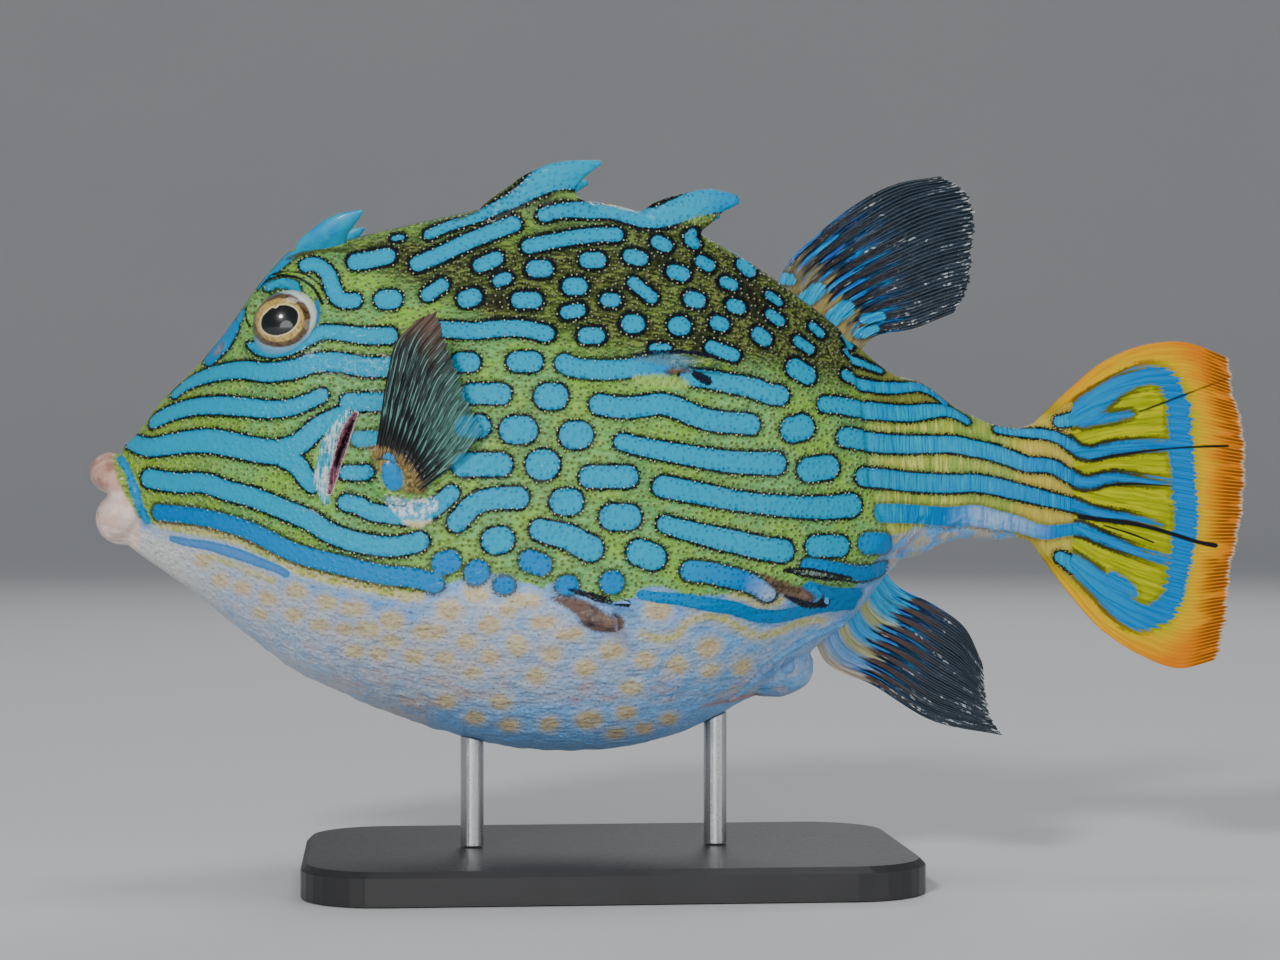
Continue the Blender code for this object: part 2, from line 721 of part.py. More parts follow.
def make_head(group):
    """Head in front of the gill opening, with lids, sockets and nostrils."""
    head = body_part("head", group, rear=GILL_PLANE)
    boolean(head, "UNION", [lid_ring(side, group) for side in (-1, 1)])
    cutters = []
    for side in (-1, 1):
        centre, _ = eye_frame(side)
        room = (EYE_RADIUS + GAP + SOCKET_ROOM,) * 3
        cutters.append(ellipsoid("socket", centre, room, group, segments=SOCKET_SEGMENTS))
        nostril_y = flank(NOSTRIL["x"], NOSTRIL["height"])
        place = (NOSTRIL["x"], nostril_y, NOSTRIL["height"])
        hole = (NOSTRIL["radius"],) * 3
        cutters.append(ellipsoid("nostril", place, hole, group, segments=NOSTRIL_SEGMENTS, side=side))
    boolean(head, "DIFFERENCE", cutters)
    return finish_part(head, HEAD_COLOUR, SHELL_ROUGHNESS)


def make_horn(name, side, group):
    horn = blade(name, HORN, side, group)
    boolean(horn, "DIFFERENCE", [body_cutter(group)])
    return finish_part(horn, HORN_COLOUR, WET_ROUGHNESS)


def make_lip(name, shape, above, group):
    """Rounded lip swept from one mouth corner to the other."""
    front_x, front_z = shape["front"]
    corner_x, corner_y, corner_z = shape["corner"]
    curve = bpy.data.curves.new(name + "_path", "CURVE")
    curve.dimensions = "3D"
    curve.bevel_depth = shape["radius"] * MM
    curve.bevel_resolution = 4
    curve.use_fill_caps = True
    line = curve.splines.new("POLY")
    line.points.add(LIP_POINTS - 1)
    for k in range(LIP_POINTS):
        angle = math.pi * (k / (LIP_POINTS - 1) - 0.5)
        x = corner_x + (front_x - corner_x) * math.cos(angle)
        y = corner_y * math.sin(angle)
        z = front_z + (corner_z - front_z) * math.sin(angle) ** 2
        line.points[k].co = (x * MM, y * MM, (z + AXIS_HEIGHT) * MM, 1.0)
        line.points[k].radius = LIP_KEPT + (1 - LIP_KEPT) * math.cos(angle) ** LIP_POWER
    path = bpy.data.objects.new(name + "_path", curve)
    group.objects.link(path)
    lip = evaluated_copy(path, name, group)
    bpy.data.objects.remove(path, do_unlink=True)
    bm = bmesh.new()
    bm.from_mesh(lip.data)
    bmesh.ops.remove_doubles(bm, verts=bm.verts, dist=0.00001)
    bmesh.ops.recalc_face_normals(bm, faces=bm.faces)
    bm.to_mesh(lip.data)
    bm.free()
    offset = MOUTH_BLOCK_HALF - GAP / 2
    block_z = MOUTH_LINE - offset if above else MOUTH_LINE + offset
    block = bmesh.new()
    bmesh.ops.create_cube(block, size=2 * MOUTH_BLOCK_HALF)
    block.transform(Matrix.Translation((front_x, 0.0, block_z)))
    cutters = [body_cutter(group), make_object("mouth_block", block, group)]
    boolean(lip, "DIFFERENCE", cutters)
    return finish_part(lip, LIP_COLOUR, WET_ROUGHNESS)


# Trunk


def make_carapace(group):
    """Boxy trunk with its spines, gill openings and vent."""
    carapace = body_part("carapace", group, front=GILL_PLANE, rear=RIM_PLANE)
    pieces = []
    slits = []
    for side in (-1, 1):
        for sections in (FRONT_BACK_SPINE, REAR_BACK_SPINE):
            pieces.append(blade("spine", sections, side, group))
        thorns = (SIDE_SPINE, LOW_SPINE_FRONT, LOW_BLADE_FRONT, LOW_SPINE_REAR, LOW_BLADE_REAR)
        for shape in thorns:
            pieces.append(flank_spine("spine", shape, side, group))
        for shape, pile in ((GILL_FLAP, pieces), (GILL_SLIT, slits)):
            centre = (shape["x"], flank(shape["x"], shape["height"]), shape["height"])
            tilt = shape["lean"]
            pile.append(ellipsoid("gill", centre, shape["half"], group, tilt, side=side))
    vent = (VENT_LOBE["x"], 0.0, VENT_LOBE["height"])
    pieces.append(ellipsoid("vent", vent, VENT_LOBE["half"], group))
    boolean(carapace, "UNION", pieces)
    boolean(carapace, "DIFFERENCE", slits)
    return finish_part(carapace, CARAPACE_COLOUR, SHELL_ROUGHNESS)


# Stand


def make_stand(group):
    """Flat base with rounded corners, and two rods cut to the keel."""
    straight_x = BASE_HALF_LENGTH - BASE_CORNER
    straight_y = BASE_HALF_WIDTH - BASE_CORNER
    outline = []
    for quarter, (sx, sy) in enumerate(((1, 1), (-1, 1), (-1, -1), (1, -1))):
        for k in range(BASE_CORNER_STEPS + 1):
            angle = math.pi / 2 * (quarter + k / BASE_CORNER_STEPS)
            x = BASE_CENTRE_X + sx * straight_x + BASE_CORNER * math.cos(angle)
            y = sy * straight_y + BASE_CORNER * math.sin(angle)
            outline.append((x, y))
    rings = []
    for z, inset in ((0.0, 0.0), (BASE_THICKNESS - BASE_BEVEL, 0.0), (BASE_THICKNESS, BASE_BEVEL)):
        shrink_x = 1 - inset / BASE_HALF_LENGTH
        shrink_y = 1 - inset / BASE_HALF_WIDTH
        ring = []
        for x, y in outline:
            ring.append((BASE_CENTRE_X + (x - BASE_CENTRE_X) * shrink_x, y * shrink_y, z - AXIS_HEIGHT))
        rings.append(ring)
    base = make_object("stand_base", loft(rings), group)
    finish_part(base, BASE_COLOUR, PAINT_ROUGHNESS)
    for label, x in zip(("front", "rear"), ROD_X):
        foot = BASE_THICKNESS + GAP - AXIS_HEIGHT
        keel = station(x)[1]
        length = keel + ROD_OVERLAP - foot
        bm = bmesh.new()
        bmesh.ops.create_cone(
            bm,
            cap_ends=True,
            segments=ROD_SEGMENTS,
            radius1=ROD_RADIUS,
            radius2=ROD_RADIUS,
            depth=length,
            matrix=Matrix.Translation((x, 0.0, foot + length / 2)),
        )
        rod = make_object("stand_rod_" + label, bm, group)
        boolean(rod, "DIFFERENCE", [body_cutter(group)])
        finish_part(rod, ROD_COLOUR, ROD_ROUGHNESS, 1.0)


def main():
    remove_scene_objects()
    group = new_collection("shaws_cowfish")
    make_head(group)
    make_lip("lip_upper", UPPER_LIP, True, group)
    make_lip("lip_lower", LOWER_LIP, False, group)
    make_carapace(group)
    peduncle = body_part("caudal_peduncle", group, front=RIM_PLANE)
    finish_part(peduncle, PEDUNCLE_COLOUR, WET_ROUGHNESS)
    make_tail_fin(group)
    make_median_fin("dorsal_fin", DORSAL_FIN, MEDIAN_FIN_COLOUR, group)
    make_median_fin("anal_fin", ANAL_FIN, MEDIAN_FIN_COLOUR, group)
    for label, side in (("left", -1), ("right", 1)):
        make_eye("eye_" + label, side, group)
        make_horn("horn_" + label, side, group)
        make_pectoral_fin("pectoral_fin_" + label, side, group)
    make_stand(group)


main()
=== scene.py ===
import math
import random

import bpy
import numpy as np
from mathutils import Matrix, Vector, noise


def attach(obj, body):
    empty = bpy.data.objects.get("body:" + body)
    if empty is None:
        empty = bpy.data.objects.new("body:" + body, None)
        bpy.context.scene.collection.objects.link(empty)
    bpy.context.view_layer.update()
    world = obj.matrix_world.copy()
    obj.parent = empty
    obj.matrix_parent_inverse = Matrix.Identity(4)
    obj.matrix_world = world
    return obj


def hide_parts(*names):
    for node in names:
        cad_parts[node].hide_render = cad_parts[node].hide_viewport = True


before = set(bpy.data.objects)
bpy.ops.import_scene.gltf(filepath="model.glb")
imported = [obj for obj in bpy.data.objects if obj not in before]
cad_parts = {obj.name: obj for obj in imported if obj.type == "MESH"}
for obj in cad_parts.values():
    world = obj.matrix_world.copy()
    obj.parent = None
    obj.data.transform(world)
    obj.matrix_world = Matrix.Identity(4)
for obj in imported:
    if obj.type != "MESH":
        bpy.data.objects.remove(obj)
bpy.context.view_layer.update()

MM = 0.001
AXIS_HEIGHT = 62.0
VOXEL = 0.36

# Body stations from the snout to the tail root, then the wedge of flesh that
# runs out between the tail fin's rays.
# x, back, keel, half width, shoulder y, side ridge, low ridge, angular
STATIONS = np.array((
    (-85.5, 5.2, -9.4, 4.4, 2.4, 0.0, -4.2, 0.0),
    (-83.4, 7.2, -11.2, 6.0, 3.2, 1.0, -5.0, 0.0),
    (-80.0, 11.8, -13.6, 9.0, 4.8, 3.0, -6.5, 0.05),
    (-75.0, 16.9, -17.0, 13.2, 6.8, 7.0, -8.2, 0.15),
    (-70.0, 22.6, -21.2, 16.8, 8.8, 11.0, -9.8, 0.35),
    (-65.0, 29.5, -25.2, 19.8, 10.6, 14.5, -11.4, 0.6),
    (-60.0, 34.8, -29.0, 22.3, 12.0, 16.4, -12.8, 0.8),
    (-52.0, 36.2, -33.0, 24.8, 12.9, 17.0, -14.6, 0.95),
    (-38.0, 39.4, -38.5, 27.2, 13.2, 16.9, -16.5, 1.0),
    (-18.0, 42.5, -42.2, 28.2, 12.8, 16.5, -17.0, 1.0),
    (2.0, 37.8, -38.8, 26.2, 11.6, 16.2, -15.8, 1.0),
    (12.0, 32.4, -33.5, 23.0, 9.8, 15.2, -14.0, 1.0),
    (20.0, 26.9, -27.6, 18.8, 7.4, 12.8, -12.8, 1.0),
    (28.0, 20.8, -21.2, 13.4, 4.8, 9.4, -11.4, 0.8),
    (34.0, 16.8, -13.4, 9.4, 3.3, 7.0, -8.6, 0.45),
    (38.0, 15.6, -11.8, 7.4, 2.6, 5.6, -6.8, 0.25),
    (44.0, 11.6, -9.4, 5.6, 2.0, 4.0, -5.0, 0.1),
    (50.0, 8.9, -9.5, 4.3, 1.5, 3.2, -4.2, 0.0),
    (56.0, 8.7, -9.9, 3.4, 1.2, 3.0, -4.0, 0.0),
    (59.5, 11.2, -13.8, 2.2, 0.9, 3.0, -4.0, 0.0),
    (63.0, 14.2, -18.2, 0.8, 0.5, 3.0, -4.0, 0.0),
))
SIDE_RIDGE_WIDTH = 0.9
SHOULDER_DROP = 0.055
KEEL_CORNERS = ((0.70, 0.52), (0.35, 0.865))
CORNER_TENSION = np.array((1.0, 0.45, 0.5, 0.45, 1.0, 1.0, 0.5))
CORNER_ANGLES = (0.0, 25.0, 62.0, 112.0, 138.0, 162.0, 180.0)
LAST_CORNER = 6

UPPER_LIP = {"front": (-87.6, 1.2), "corner": (-82.4, 4.9, -0.6), "radius": 3.1}
LOWER_LIP = {"front": (-85.7, -5.9), "corner": (-81.0, 5.3, -3.6), "radius": 4.1}

EYE_X = -61.2
EYE_HEIGHT = 23.9
EYE_RADIUS = 6.0
EYE_SUNK = 3.7
CORNEA_RISE = 0.45

# Horns and spines: front x, front height, rear x, rear height, half thickness
# and y of each section's middle; the last row is the tip.
HORN = (
    (-58.2, 31.6, -51.8, 32.4, 0.8, 9.8),
    (-58.9, 33.6, -51.4, 34.2, 1.2, 10.9),
    (-58.7, 35.4, -51.3, 35.8, 1.6, 12.0),
    (-57.2, 37.0, -51.1, 36.9, 1.6, 12.9),
    (-54.6, 38.9, -50.3, 38.0, 1.3, 13.7),
    (-52.0, 40.0, -49.4, 39.2, 0.8, 14.4),
    (-48.9, 40.5, -48.7, 40.2, 0.15, 15.1),
)
FRONT_BACK_SPINE = (
    (-34.0, 38.0, -12.5, 39.4, 2.4, 12.4),
    (-30.9, 41.4, -14.0, 41.6, 2.0, 12.9),
    (-27.8, 43.7, -16.8, 43.2, 1.5, 13.4),
    (-24.0, 46.4, -16.2, 44.6, 1.1, 13.8),
    (-19.5, 48.1, -15.2, 45.8, 0.9, 14.2),
    (-13.0, 48.6, -12.6, 47.6, 0.3, 14.6),
)
REAR_BACK_SPINE = (
    (-8.0, 38.2, 4.2, 34.6, 2.2, 11.2),
    (-6.6, 40.8, 2.4, 37.3, 1.8, 11.5),
    (-4.6, 42.3, 4.0, 39.0, 1.4, 11.9),
    (-1.0, 43.5, 5.6, 40.5, 1.0, 12.2),
    (3.4, 44.4, 6.9, 41.3, 0.85, 12.4),
    (8.0, 43.6, 8.6, 42.2, 0.3, 12.6),
)
SIDE_SPINE = {"root": (-4.0, 17.2), "tip": (3.6, 17.4, 3.2), "half": (5.0, 1.4)}
LOW_SPINE_FRONT = {"root": (-17.2, -17.8), "tip": (-11.2, -21.4, 2.6), "half": (4.2, 2.2)}
LOW_BLADE_FRONT = {"root": (-16.4, -16.4), "tip": (-9.4, -18.1, 2.3), "half": (4.0, 0.8)}
LOW_SPINE_REAR = {"root": (14.0, -14.8), "tip": (21.8, -18.5, 4.0), "half": (4.2, 1.8)}
LOW_BLADE_REAR = {"root": (16.4, -13.6), "tip": (25.0, -15.0, 3.8), "half": (4.0, 0.7)}
SPINE_DEPTH = 2.4

KNOB = {"x": 9.0, "y": 9.8, "height": 32.2, "half": (2.8, 1.4, 1.7), "lean": 32.0}
VENT_LOBE = {"x": 15.3, "height": -29.4, "half": (6.3, 5.4, 4.6)}
PECTORAL_LOBE = {"x": -43.6, "height": 0.8, "half": (4.3, 2.0, 4.5), "lean": -25.0}
PECTORAL_STAND_OFF = 1.7
PECTORAL_LEAN = 0.09

# The camera stands level with the body's axis.
CAMERA = (-45.02, -448.29, 0.0)
CAMERA_AIM = (-5.8, 0.0, 0.0)
CAMERA_LENS = 81.0


# Curves and sections of the body


def smooth_curve(xs, ys, x):
    """Cubic curve through the rows of ys at xs, read at each x."""
    gaps = np.diff(xs)[:, None]
    rise = np.diff(ys, axis=0) / gaps
    inner = (rise[:-1] * gaps[1:] + rise[1:] * gaps[:-1]) / (gaps[1:] + gaps[:-1])
    tangents = np.vstack((rise[:1], inner, rise[-1:]))
    index = np.clip(np.searchsorted(xs, x) - 1, 0, len(xs) - 2)
    span = gaps[index]
    t = (x - xs[index])[:, None] / span
    start = (1 + 2 * t) * (1 - t) ** 2 * ys[index] + t * (1 - t) ** 2 * span * tangents[index]
    end = t * t * (3 - 2 * t) * ys[index + 1] - t * t * (1 - t) * span * tangents[index + 1]
    return start + end


def spline(points, step):
    """Even points on a smooth line through a few, and how far along it each lies."""
    points = np.array(points, float)
    lengths = np.concatenate(([0.0], np.cumsum(np.linalg.norm(np.diff(points, axis=0), axis=1))))
    count = max(4, math.ceil(lengths[-1] / step) + 1)
    places = np.linspace(0.0, lengths[-1], count)
    if len(points) == 2:
        return points[0] + (points[1] - points[0]) * (places / lengths[-1])[:, None], places
    return smooth_curve(lengths, points, places), places


def sections(x, u):
    """Left half sections, as an array of x by u by (y, height)."""
    values = smooth_curve(STATIONS[:, 0], STATIONS[:, 1:], x)
    back, keel, half_width, shoulder, side_ridge, low_ridge, angular = values.T
    zero = np.zeros(len(x))
    corners = [
        (zero, back),
        (shoulder, back - SHOULDER_DROP * shoulder),
        (SIDE_RIDGE_WIDTH * half_width, side_ridge),
        (half_width, low_ridge),
    ]
    corners += [(w * half_width, low_ridge + depth * (keel - low_ridge)) for w, depth in KEEL_CORNERS]
    corners.append((zero, keel))
    corners = np.array(corners).transpose(2, 0, 1)
    mirror = np.array((-1.0, 1.0))
    padded = np.concatenate((corners[:, 1:2] * mirror, corners, corners[:, -2:-1] * mirror), axis=1)
    index = np.minimum(u.astype(int), LAST_CORNER - 1)
    t = (u - index)[None, :, None]
    tension = CORNER_TENSION[:, None] * 0.5
    slope_a = tension[index] * (padded[:, index + 2] - padded[:, index])
    slope_b = tension[index + 1] * (padded[:, index + 3] - padded[:, index + 1])
    facet = (1 + 2 * t) * (1 - t) ** 2 * corners[:, index] + t * (1 - t) ** 2 * slope_a
    facet += t * t * (3 - 2 * t) * corners[:, index + 1] - t * t * (1 - t) * slope_b
    angle = np.radians(np.interp(u, range(LAST_CORNER + 1), CORNER_ANGLES))[None]
    middle, half_height = (back + keel)[:, None] / 2, (back - keel)[:, None] / 2
    oval = np.stack((half_width[:, None] * np.sin(angle), middle + half_height * np.cos(angle)), axis=2)
    share = np.clip(angular, 0.0, 1.0)[:, None, None]
    return share * facet + (1 - share) * oval


FLANK_STEP = 0.5
FLANK_X = np.arange(STATIONS[0, 0], STATIONS[-1, 0], FLANK_STEP)
FLANK_SECTIONS = sections(FLANK_X, np.linspace(1.0, LAST_CORNER, 121))


def flank(x, height):
    """Half width of the body at places of its side; above the shoulder, the shoulder's."""
    out = []
    for place, level in zip(np.atleast_1d(x), np.atleast_1d(height)):
        at = np.clip((place - FLANK_X[0]) / FLANK_STEP, 0, len(FLANK_X) - 1.001)
        row = int(at)
        line = FLANK_SECTIONS[row] * (row + 1 - at) + FLANK_SECTIONS[row + 1] * (at - row)
        out.append(np.interp(level, line[::-1, 1], line[::-1, 0]))
    return np.array(out)


def flank_normal(x, height):
    """Outward direction of the left flank, with y taken as outward."""
    step = 1.0
    along = (flank(x + step, height) - flank(x - step, height))[0] / (2 * step)
    up = (flank(x, height + step) - flank(x, height - step))[0] / (2 * step)
    return Vector((-along, 1.0, -up)).normalized()


def cast(places):
    """Points of the left side that the camera sees at places of the middle plane."""
    places = np.array(places, float)
    y = np.full(len(places), -20.0)
    for _ in range(6):
        share = (y - CAMERA[1]) / -CAMERA[1]
        x = CAMERA[0] + (places[:, 0] - CAMERA[0]) * share
        height = places[:, 1] * share
        y = -flank(x, height)
    return np.column_stack((x, y, height))


def step_between(low, high, value):
    """Smooth step from 0 at low to 1 at high."""
    t = np.clip((value - low) / (high - low), 0.0, 1.0)
    return t * t * (3 - 2 * t)


def bell(distance, width):
    return np.exp(-((distance / width) ** 2))


def clouds(points, size, seed):
    """Smooth noise of a given size at each point, from -1 to 1."""
    shift = Vector((seed * 17.3, seed * 5.1, seed * 9.7))
    return np.array([noise.noise(Vector(point) / size + shift) for point in points])


# Meshes


def mesh_object(name, points, faces, bodies=True):
    """Smooth-shaded object from points in millimetres about the axis."""
    points = (np.asarray(points, float) + (0.0, 0.0, AXIS_HEIGHT)) * MM
    mesh = bpy.data.meshes.new(name)
    mesh.from_pydata(points.tolist(), [], faces)
    mesh.validate()
    mesh.shade_smooth()
    item = bpy.data.objects.new(name, mesh)
    bpy.context.scene.collection.objects.link(item)
    if bodies:
        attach(item, "root")
    return item


def mesh_points(mesh):
    """The mesh's points in millimetres about the axis."""
    flat = np.empty(len(mesh.vertices) * 3, np.float32)
    mesh.vertices.foreach_get("co", flat)
    return flat.reshape(-1, 3).astype(float) / MM - (0.0, 0.0, AXIS_HEIGHT)


def set_mesh_points(mesh, points):
    flat = ((points + (0.0, 0.0, AXIS_HEIGHT)) * MM).astype(np.float32)
    mesh.vertices.foreach_set("co", flat.ravel())
    mesh.update()


def mesh_normals(mesh):
    flat = np.empty(len(mesh.vertices) * 3, np.float32)
    mesh.vertex_normals.foreach_get("vector", flat)
    return flat.reshape(-1, 3).astype(float)


def set_attribute(mesh, name, values):
    """Float value at each point of the mesh, for the materials to read."""
    attribute = mesh.attributes.new(name, "FLOAT", "POINT")
    attribute.data.foreach_set("value", np.asarray(values, np.float32))


class Solids:
    """Closed lofts gathered into one set of points and faces."""

    def __init__(self):
        self.points = []
        self.faces = []

    def loft(self, rings):
        """Closed form through rings with like counts of points."""
        start = len(self.points)
        count = len(rings[0])
        for ring in rings:
            self.points.extend(tuple(point) for point in ring)
        for row in range(len(rings) - 1):
            a = start + row * count
            for i in range(count):
                j = (i + 1) % count
                self.faces.append((a + i, a + j, a + count + j, a + count + i))
        last = start + (len(rings) - 1) * count
        self.faces.append(tuple(range(start + count - 1, start - 1, -1)))
        self.faces.append(tuple(range(last, last + count)))


def body_rings():
    u = np.linspace(0.0, LAST_CORNER, LAST_CORNER * 16 + 1)
    x = np.linspace(STATIONS[0, 0], STATIONS[-1, 0], 160)
    rings = []
    for place, half in zip(x, sections(x, u)):
        left = [(place, -y, z) for y, z in half]
        right = [(place, y, z) for y, z in half[-2:0:-1]]
        rings.append(left + right)
    return rings


def blade_rings(table, side, levels=16, sides=20):
    """Lens sections of a horn or a back spine, from its root to its tip."""
    table = np.array(table)
    places = np.linspace(0, len(table) - 1, levels)
    rings = []
    for front_x, front_z, rear_x, rear_z, half, y in smooth_curve(np.arange(len(table)), table, places):
        ring = []
        for k in range(sides):
            angle = 2 * math.pi * k / sides
            x = (front_x + rear_x) / 2 + (rear_x - front_x + 0.1) / 2 * math.cos(angle)
            z = (front_z + rear_z) / 2 + (rear_z - front_z) / 2 * math.cos(angle)
            ring.append((x, side * y + half * math.sin(angle), z))
        rings.append(ring)
    return rings


def thorn_rings(shape, side, levels=14, sides=16):
    """Sections of a flat thorn that leaves the flank, back and out to its tip."""
    root_x, root_z = shape["root"]
    tip_x, tip_z, out = shape["tip"]
    half_length, half_height = shape["half"]
    root_y = flank(root_x, root_z)[0] - SPINE_DEPTH
    tip_y = flank(tip_x, tip_z)[0] + out
    rings = []
    for t in np.linspace(0.0, 0.96, levels):
        taper = (1 - t) ** 0.75
        x = root_x + (tip_x - root_x) * t ** 1.4
        z = root_z + (tip_z - root_z) * t
        y = root_y + (tip_y - root_y) * t ** 0.85
        ring = []
        for k in range(sides):
            angle = 2 * math.pi * k / sides
            rise = half_height * (0.42 + 0.58 * taper) * math.sin(angle)
            ring.append((x + half_length * taper * math.cos(angle), side * y, z + rise))
        rings.append(ring)
    return rings


def ball_rings(centre, half, lean=0.0, levels=18, sides=24):
    """Sections of a ball with three half sizes, leaning about the y axis."""
    turn = Matrix.Rotation(math.radians(lean), 3, "Y")
    rings = []
    for k in range(levels + 1):
        fall = math.pi * (0.02 + 0.96 * k / levels)
        ring = []
        for m in range(sides):
            angle = 2 * math.pi * m / sides
            x, y = math.sin(fall) * math.cos(angle), math.sin(fall) * math.sin(angle)
            point = turn @ Vector((half[0] * x, half[1] * y, half[2] * math.cos(fall)))
            ring.append(Vector(centre) + point)
        rings.append(ring)
    return rings


def lip_rings(shape, count=33, sides=20):
    """Sections of a rounded lip, from one mouth corner to the other."""
    front_x, front_z = shape["front"]
    corner_x, corner_y, corner_z = shape["corner"]
    reach = front_x - corner_x
    rings = []
    for k in range(count):
        angle = math.pi * (k / (count - 1) - 0.5)
        middle = Vector((
            corner_x + reach * math.cos(angle),
            corner_y * math.sin(angle),
            front_z + (corner_z - front_z) * math.sin(angle) ** 2,
        ))
        outward = Vector((reach * math.cos(angle), corner_y * math.sin(angle), 0.0)).normalized()
        radius = shape["radius"] * (0.35 + 0.65 * max(0.0, math.cos(angle)) ** 0.8)
        ring = []
        for m in range(sides):
            roll = 2 * math.pi * m / sides
            ring.append(middle + radius * (outward * math.cos(roll) + Vector((0, 0, math.sin(roll)))))
        rings.append(ring)
    return rings


# Markings: lines and spots as the camera sees them on the left side, in the
# middle plane: x, height. A spot is a short line with round ends.
CYAN = 0.0
DEEP = 0.5
PALE = 1.0
VIEW_SHARE = 0.75
REACH = 5.0
MARK_STEP = 0.9
# How far a stripe stops short of its ends: share of its half width, and of its length at most.
END_SHARE = 0.3
MOST_INSET = 0.3
FAR = 99.0
SIDES = (("left", -1), ("right", 1))

# Each stripe: points, width along it, hue along it, strength of its outline.
HEAD_STRIPES = (
    (((-78.2, 12.9), (-76.2, 14.6), (-73.6, 15.8), (-70.6, 16.6), (-67.4, 17.0), (-64, 16.6), (-60, 17.0),
      (-56, 18.2), (-52.5, 18.2), (-49, 17.6), (-43, 17.6)), (2.0, 2.6, 2.8, 2.9), (CYAN,), 1.0),
    (((-81.6, 8.7), (-79.1, 10.0), (-75.9, 11.1), (-71.8, 11.5), (-67.4, 11.3), (-63, 10.9), (-60.1, 11.2),
      (-57.2, 12.2), (-54.5, 13.5)), (2.4, 2.7, 2.0), (CYAN,), 1.0),
    (((-85, 6.3), (-82.2, 5.1), (-79, 5.4), (-75.8, 5.9), (-72.3, 6), (-68.8, 5.4), (-64.5, 4.5),
      (-60.7, 4.2)), (2.4, 3.5, 3.5), (CYAN,), 1.0),
    (((-62, 4.4), (-58.6, 5.7), (-56.3, 7.8), (-53.4, 9.5), (-51.3, 10.4)), (3.2, 2.6), (CYAN,), 1.0),
    (((-61.5, 3.8), (-59.2, 2.5), (-57.4, 0), (-56, -1.4)), (3.2, 2.2), (CYAN,), 1.0),
    (((-82.5, 0.4), (-77.6, -0.4), (-73.2, -0.5), (-69.5, -1.7), (-66, -2.6), (-62.4, -4), (-60, -5),
      (-57, -6.3), (-54, -8.2), (-51, -9.3), (-48, -10), (-44, -10.3), (-41, -9.8), (-39.4, -9.2)),
     (2.8,), (CYAN,), 1.0),
    (((-52.3, -3.4), (-49.7, -3.9), (-48, -4.8), (-45, -5.4), (-41, -5.6), (-38.5, -4.8), (-36.5, -3.2),
      (-34.6, -1.5)), (2.4,), (CYAN,), 1.0),
    (((-81, -4.9), (-78, -5.2), (-74, -5.7), (-70, -6.6), (-66, -8), (-63, -9.5), (-60, -11), (-57, -12),
      (-53, -13), (-49, -14), (-45, -14.8), (-41, -15.2), (-37, -16.2)), (2.4, 2.7, 2.8),
      (DEEP, 0.25, 0.35), 0.75),
    (((-66.6, 21.6), (-65.2, 20.2), (-62.6, 19.6), (-60, 20.1), (-57.7, 21.4), (-55.4, 22.8), (-52.5, 22.8),
      (-49.1, 22.4), (-44, 22.4)), (1.2, 1.7, 2.2, 2.6), (CYAN,), 1.0),
    (((-64.2, 29.2), (-62.3, 30.3), (-60.3, 30.4), (-58.4, 29.6)), (1.2,), (CYAN,), 0.8),
    (((-56.2, 28.2), (-55.7, 25.9), (-56.3, 23.6)), (0.8,), (0.3,), 0.3),
    (((-67.5, 26.6), (-68.0, 24.0)), (1.5,), (0.15,), 0.6),
    (((-58.5, 33), (-56.2, 33.4), (-54.4, 32), (-53.5, 29.7), (-52.6, 28.1), (-49.3, 27.8)), (2.0, 2.3, 2.2),
     (CYAN,), 1.0),
    (((-72.6, 18.6), (-70.8, 20.8), (-68.6, 24.0)), (3.2, 4.0, 3.0), (0.2,), 1.0),
    (((-65.4, 29.4), (-63.6, 31.6), (-61.2, 34.0), (-59.4, 35.8), (-57.6, 36.6)), (1.2, 1.9, 2.6), (0.12,),
      0.8),
    (((-51.9, 12.0), (-44.6, 12.2)), (2.6,), (CYAN,), 1.0),
    (((-50.3, 6.3), (-46.6, 6.5)), (2.3,), (CYAN,), 0.7),
    (((-52.2, 1.1), (-46.8, 1.2)), (2.1,), (CYAN,), 1.0),
    (((-86.5, 4.0), (-85.2, 1.8), (-83.9, -1.4), (-83.0, -4.4), (-81.6, -7.0)), (1.2, 1.5, 1.5, 1.2),
      (0.2,), 0.15),
)
HEAD_FAINT_STRIPES = (
    (((-79, -8.8), (-76, -9.6), (-72, -10.3), (-69, -11.2), (-65, -12.6), (-62, -13.8), (-60, -14.9)),
     (1.0, 1.8, 1.2), (0.65,), 0.0),
)
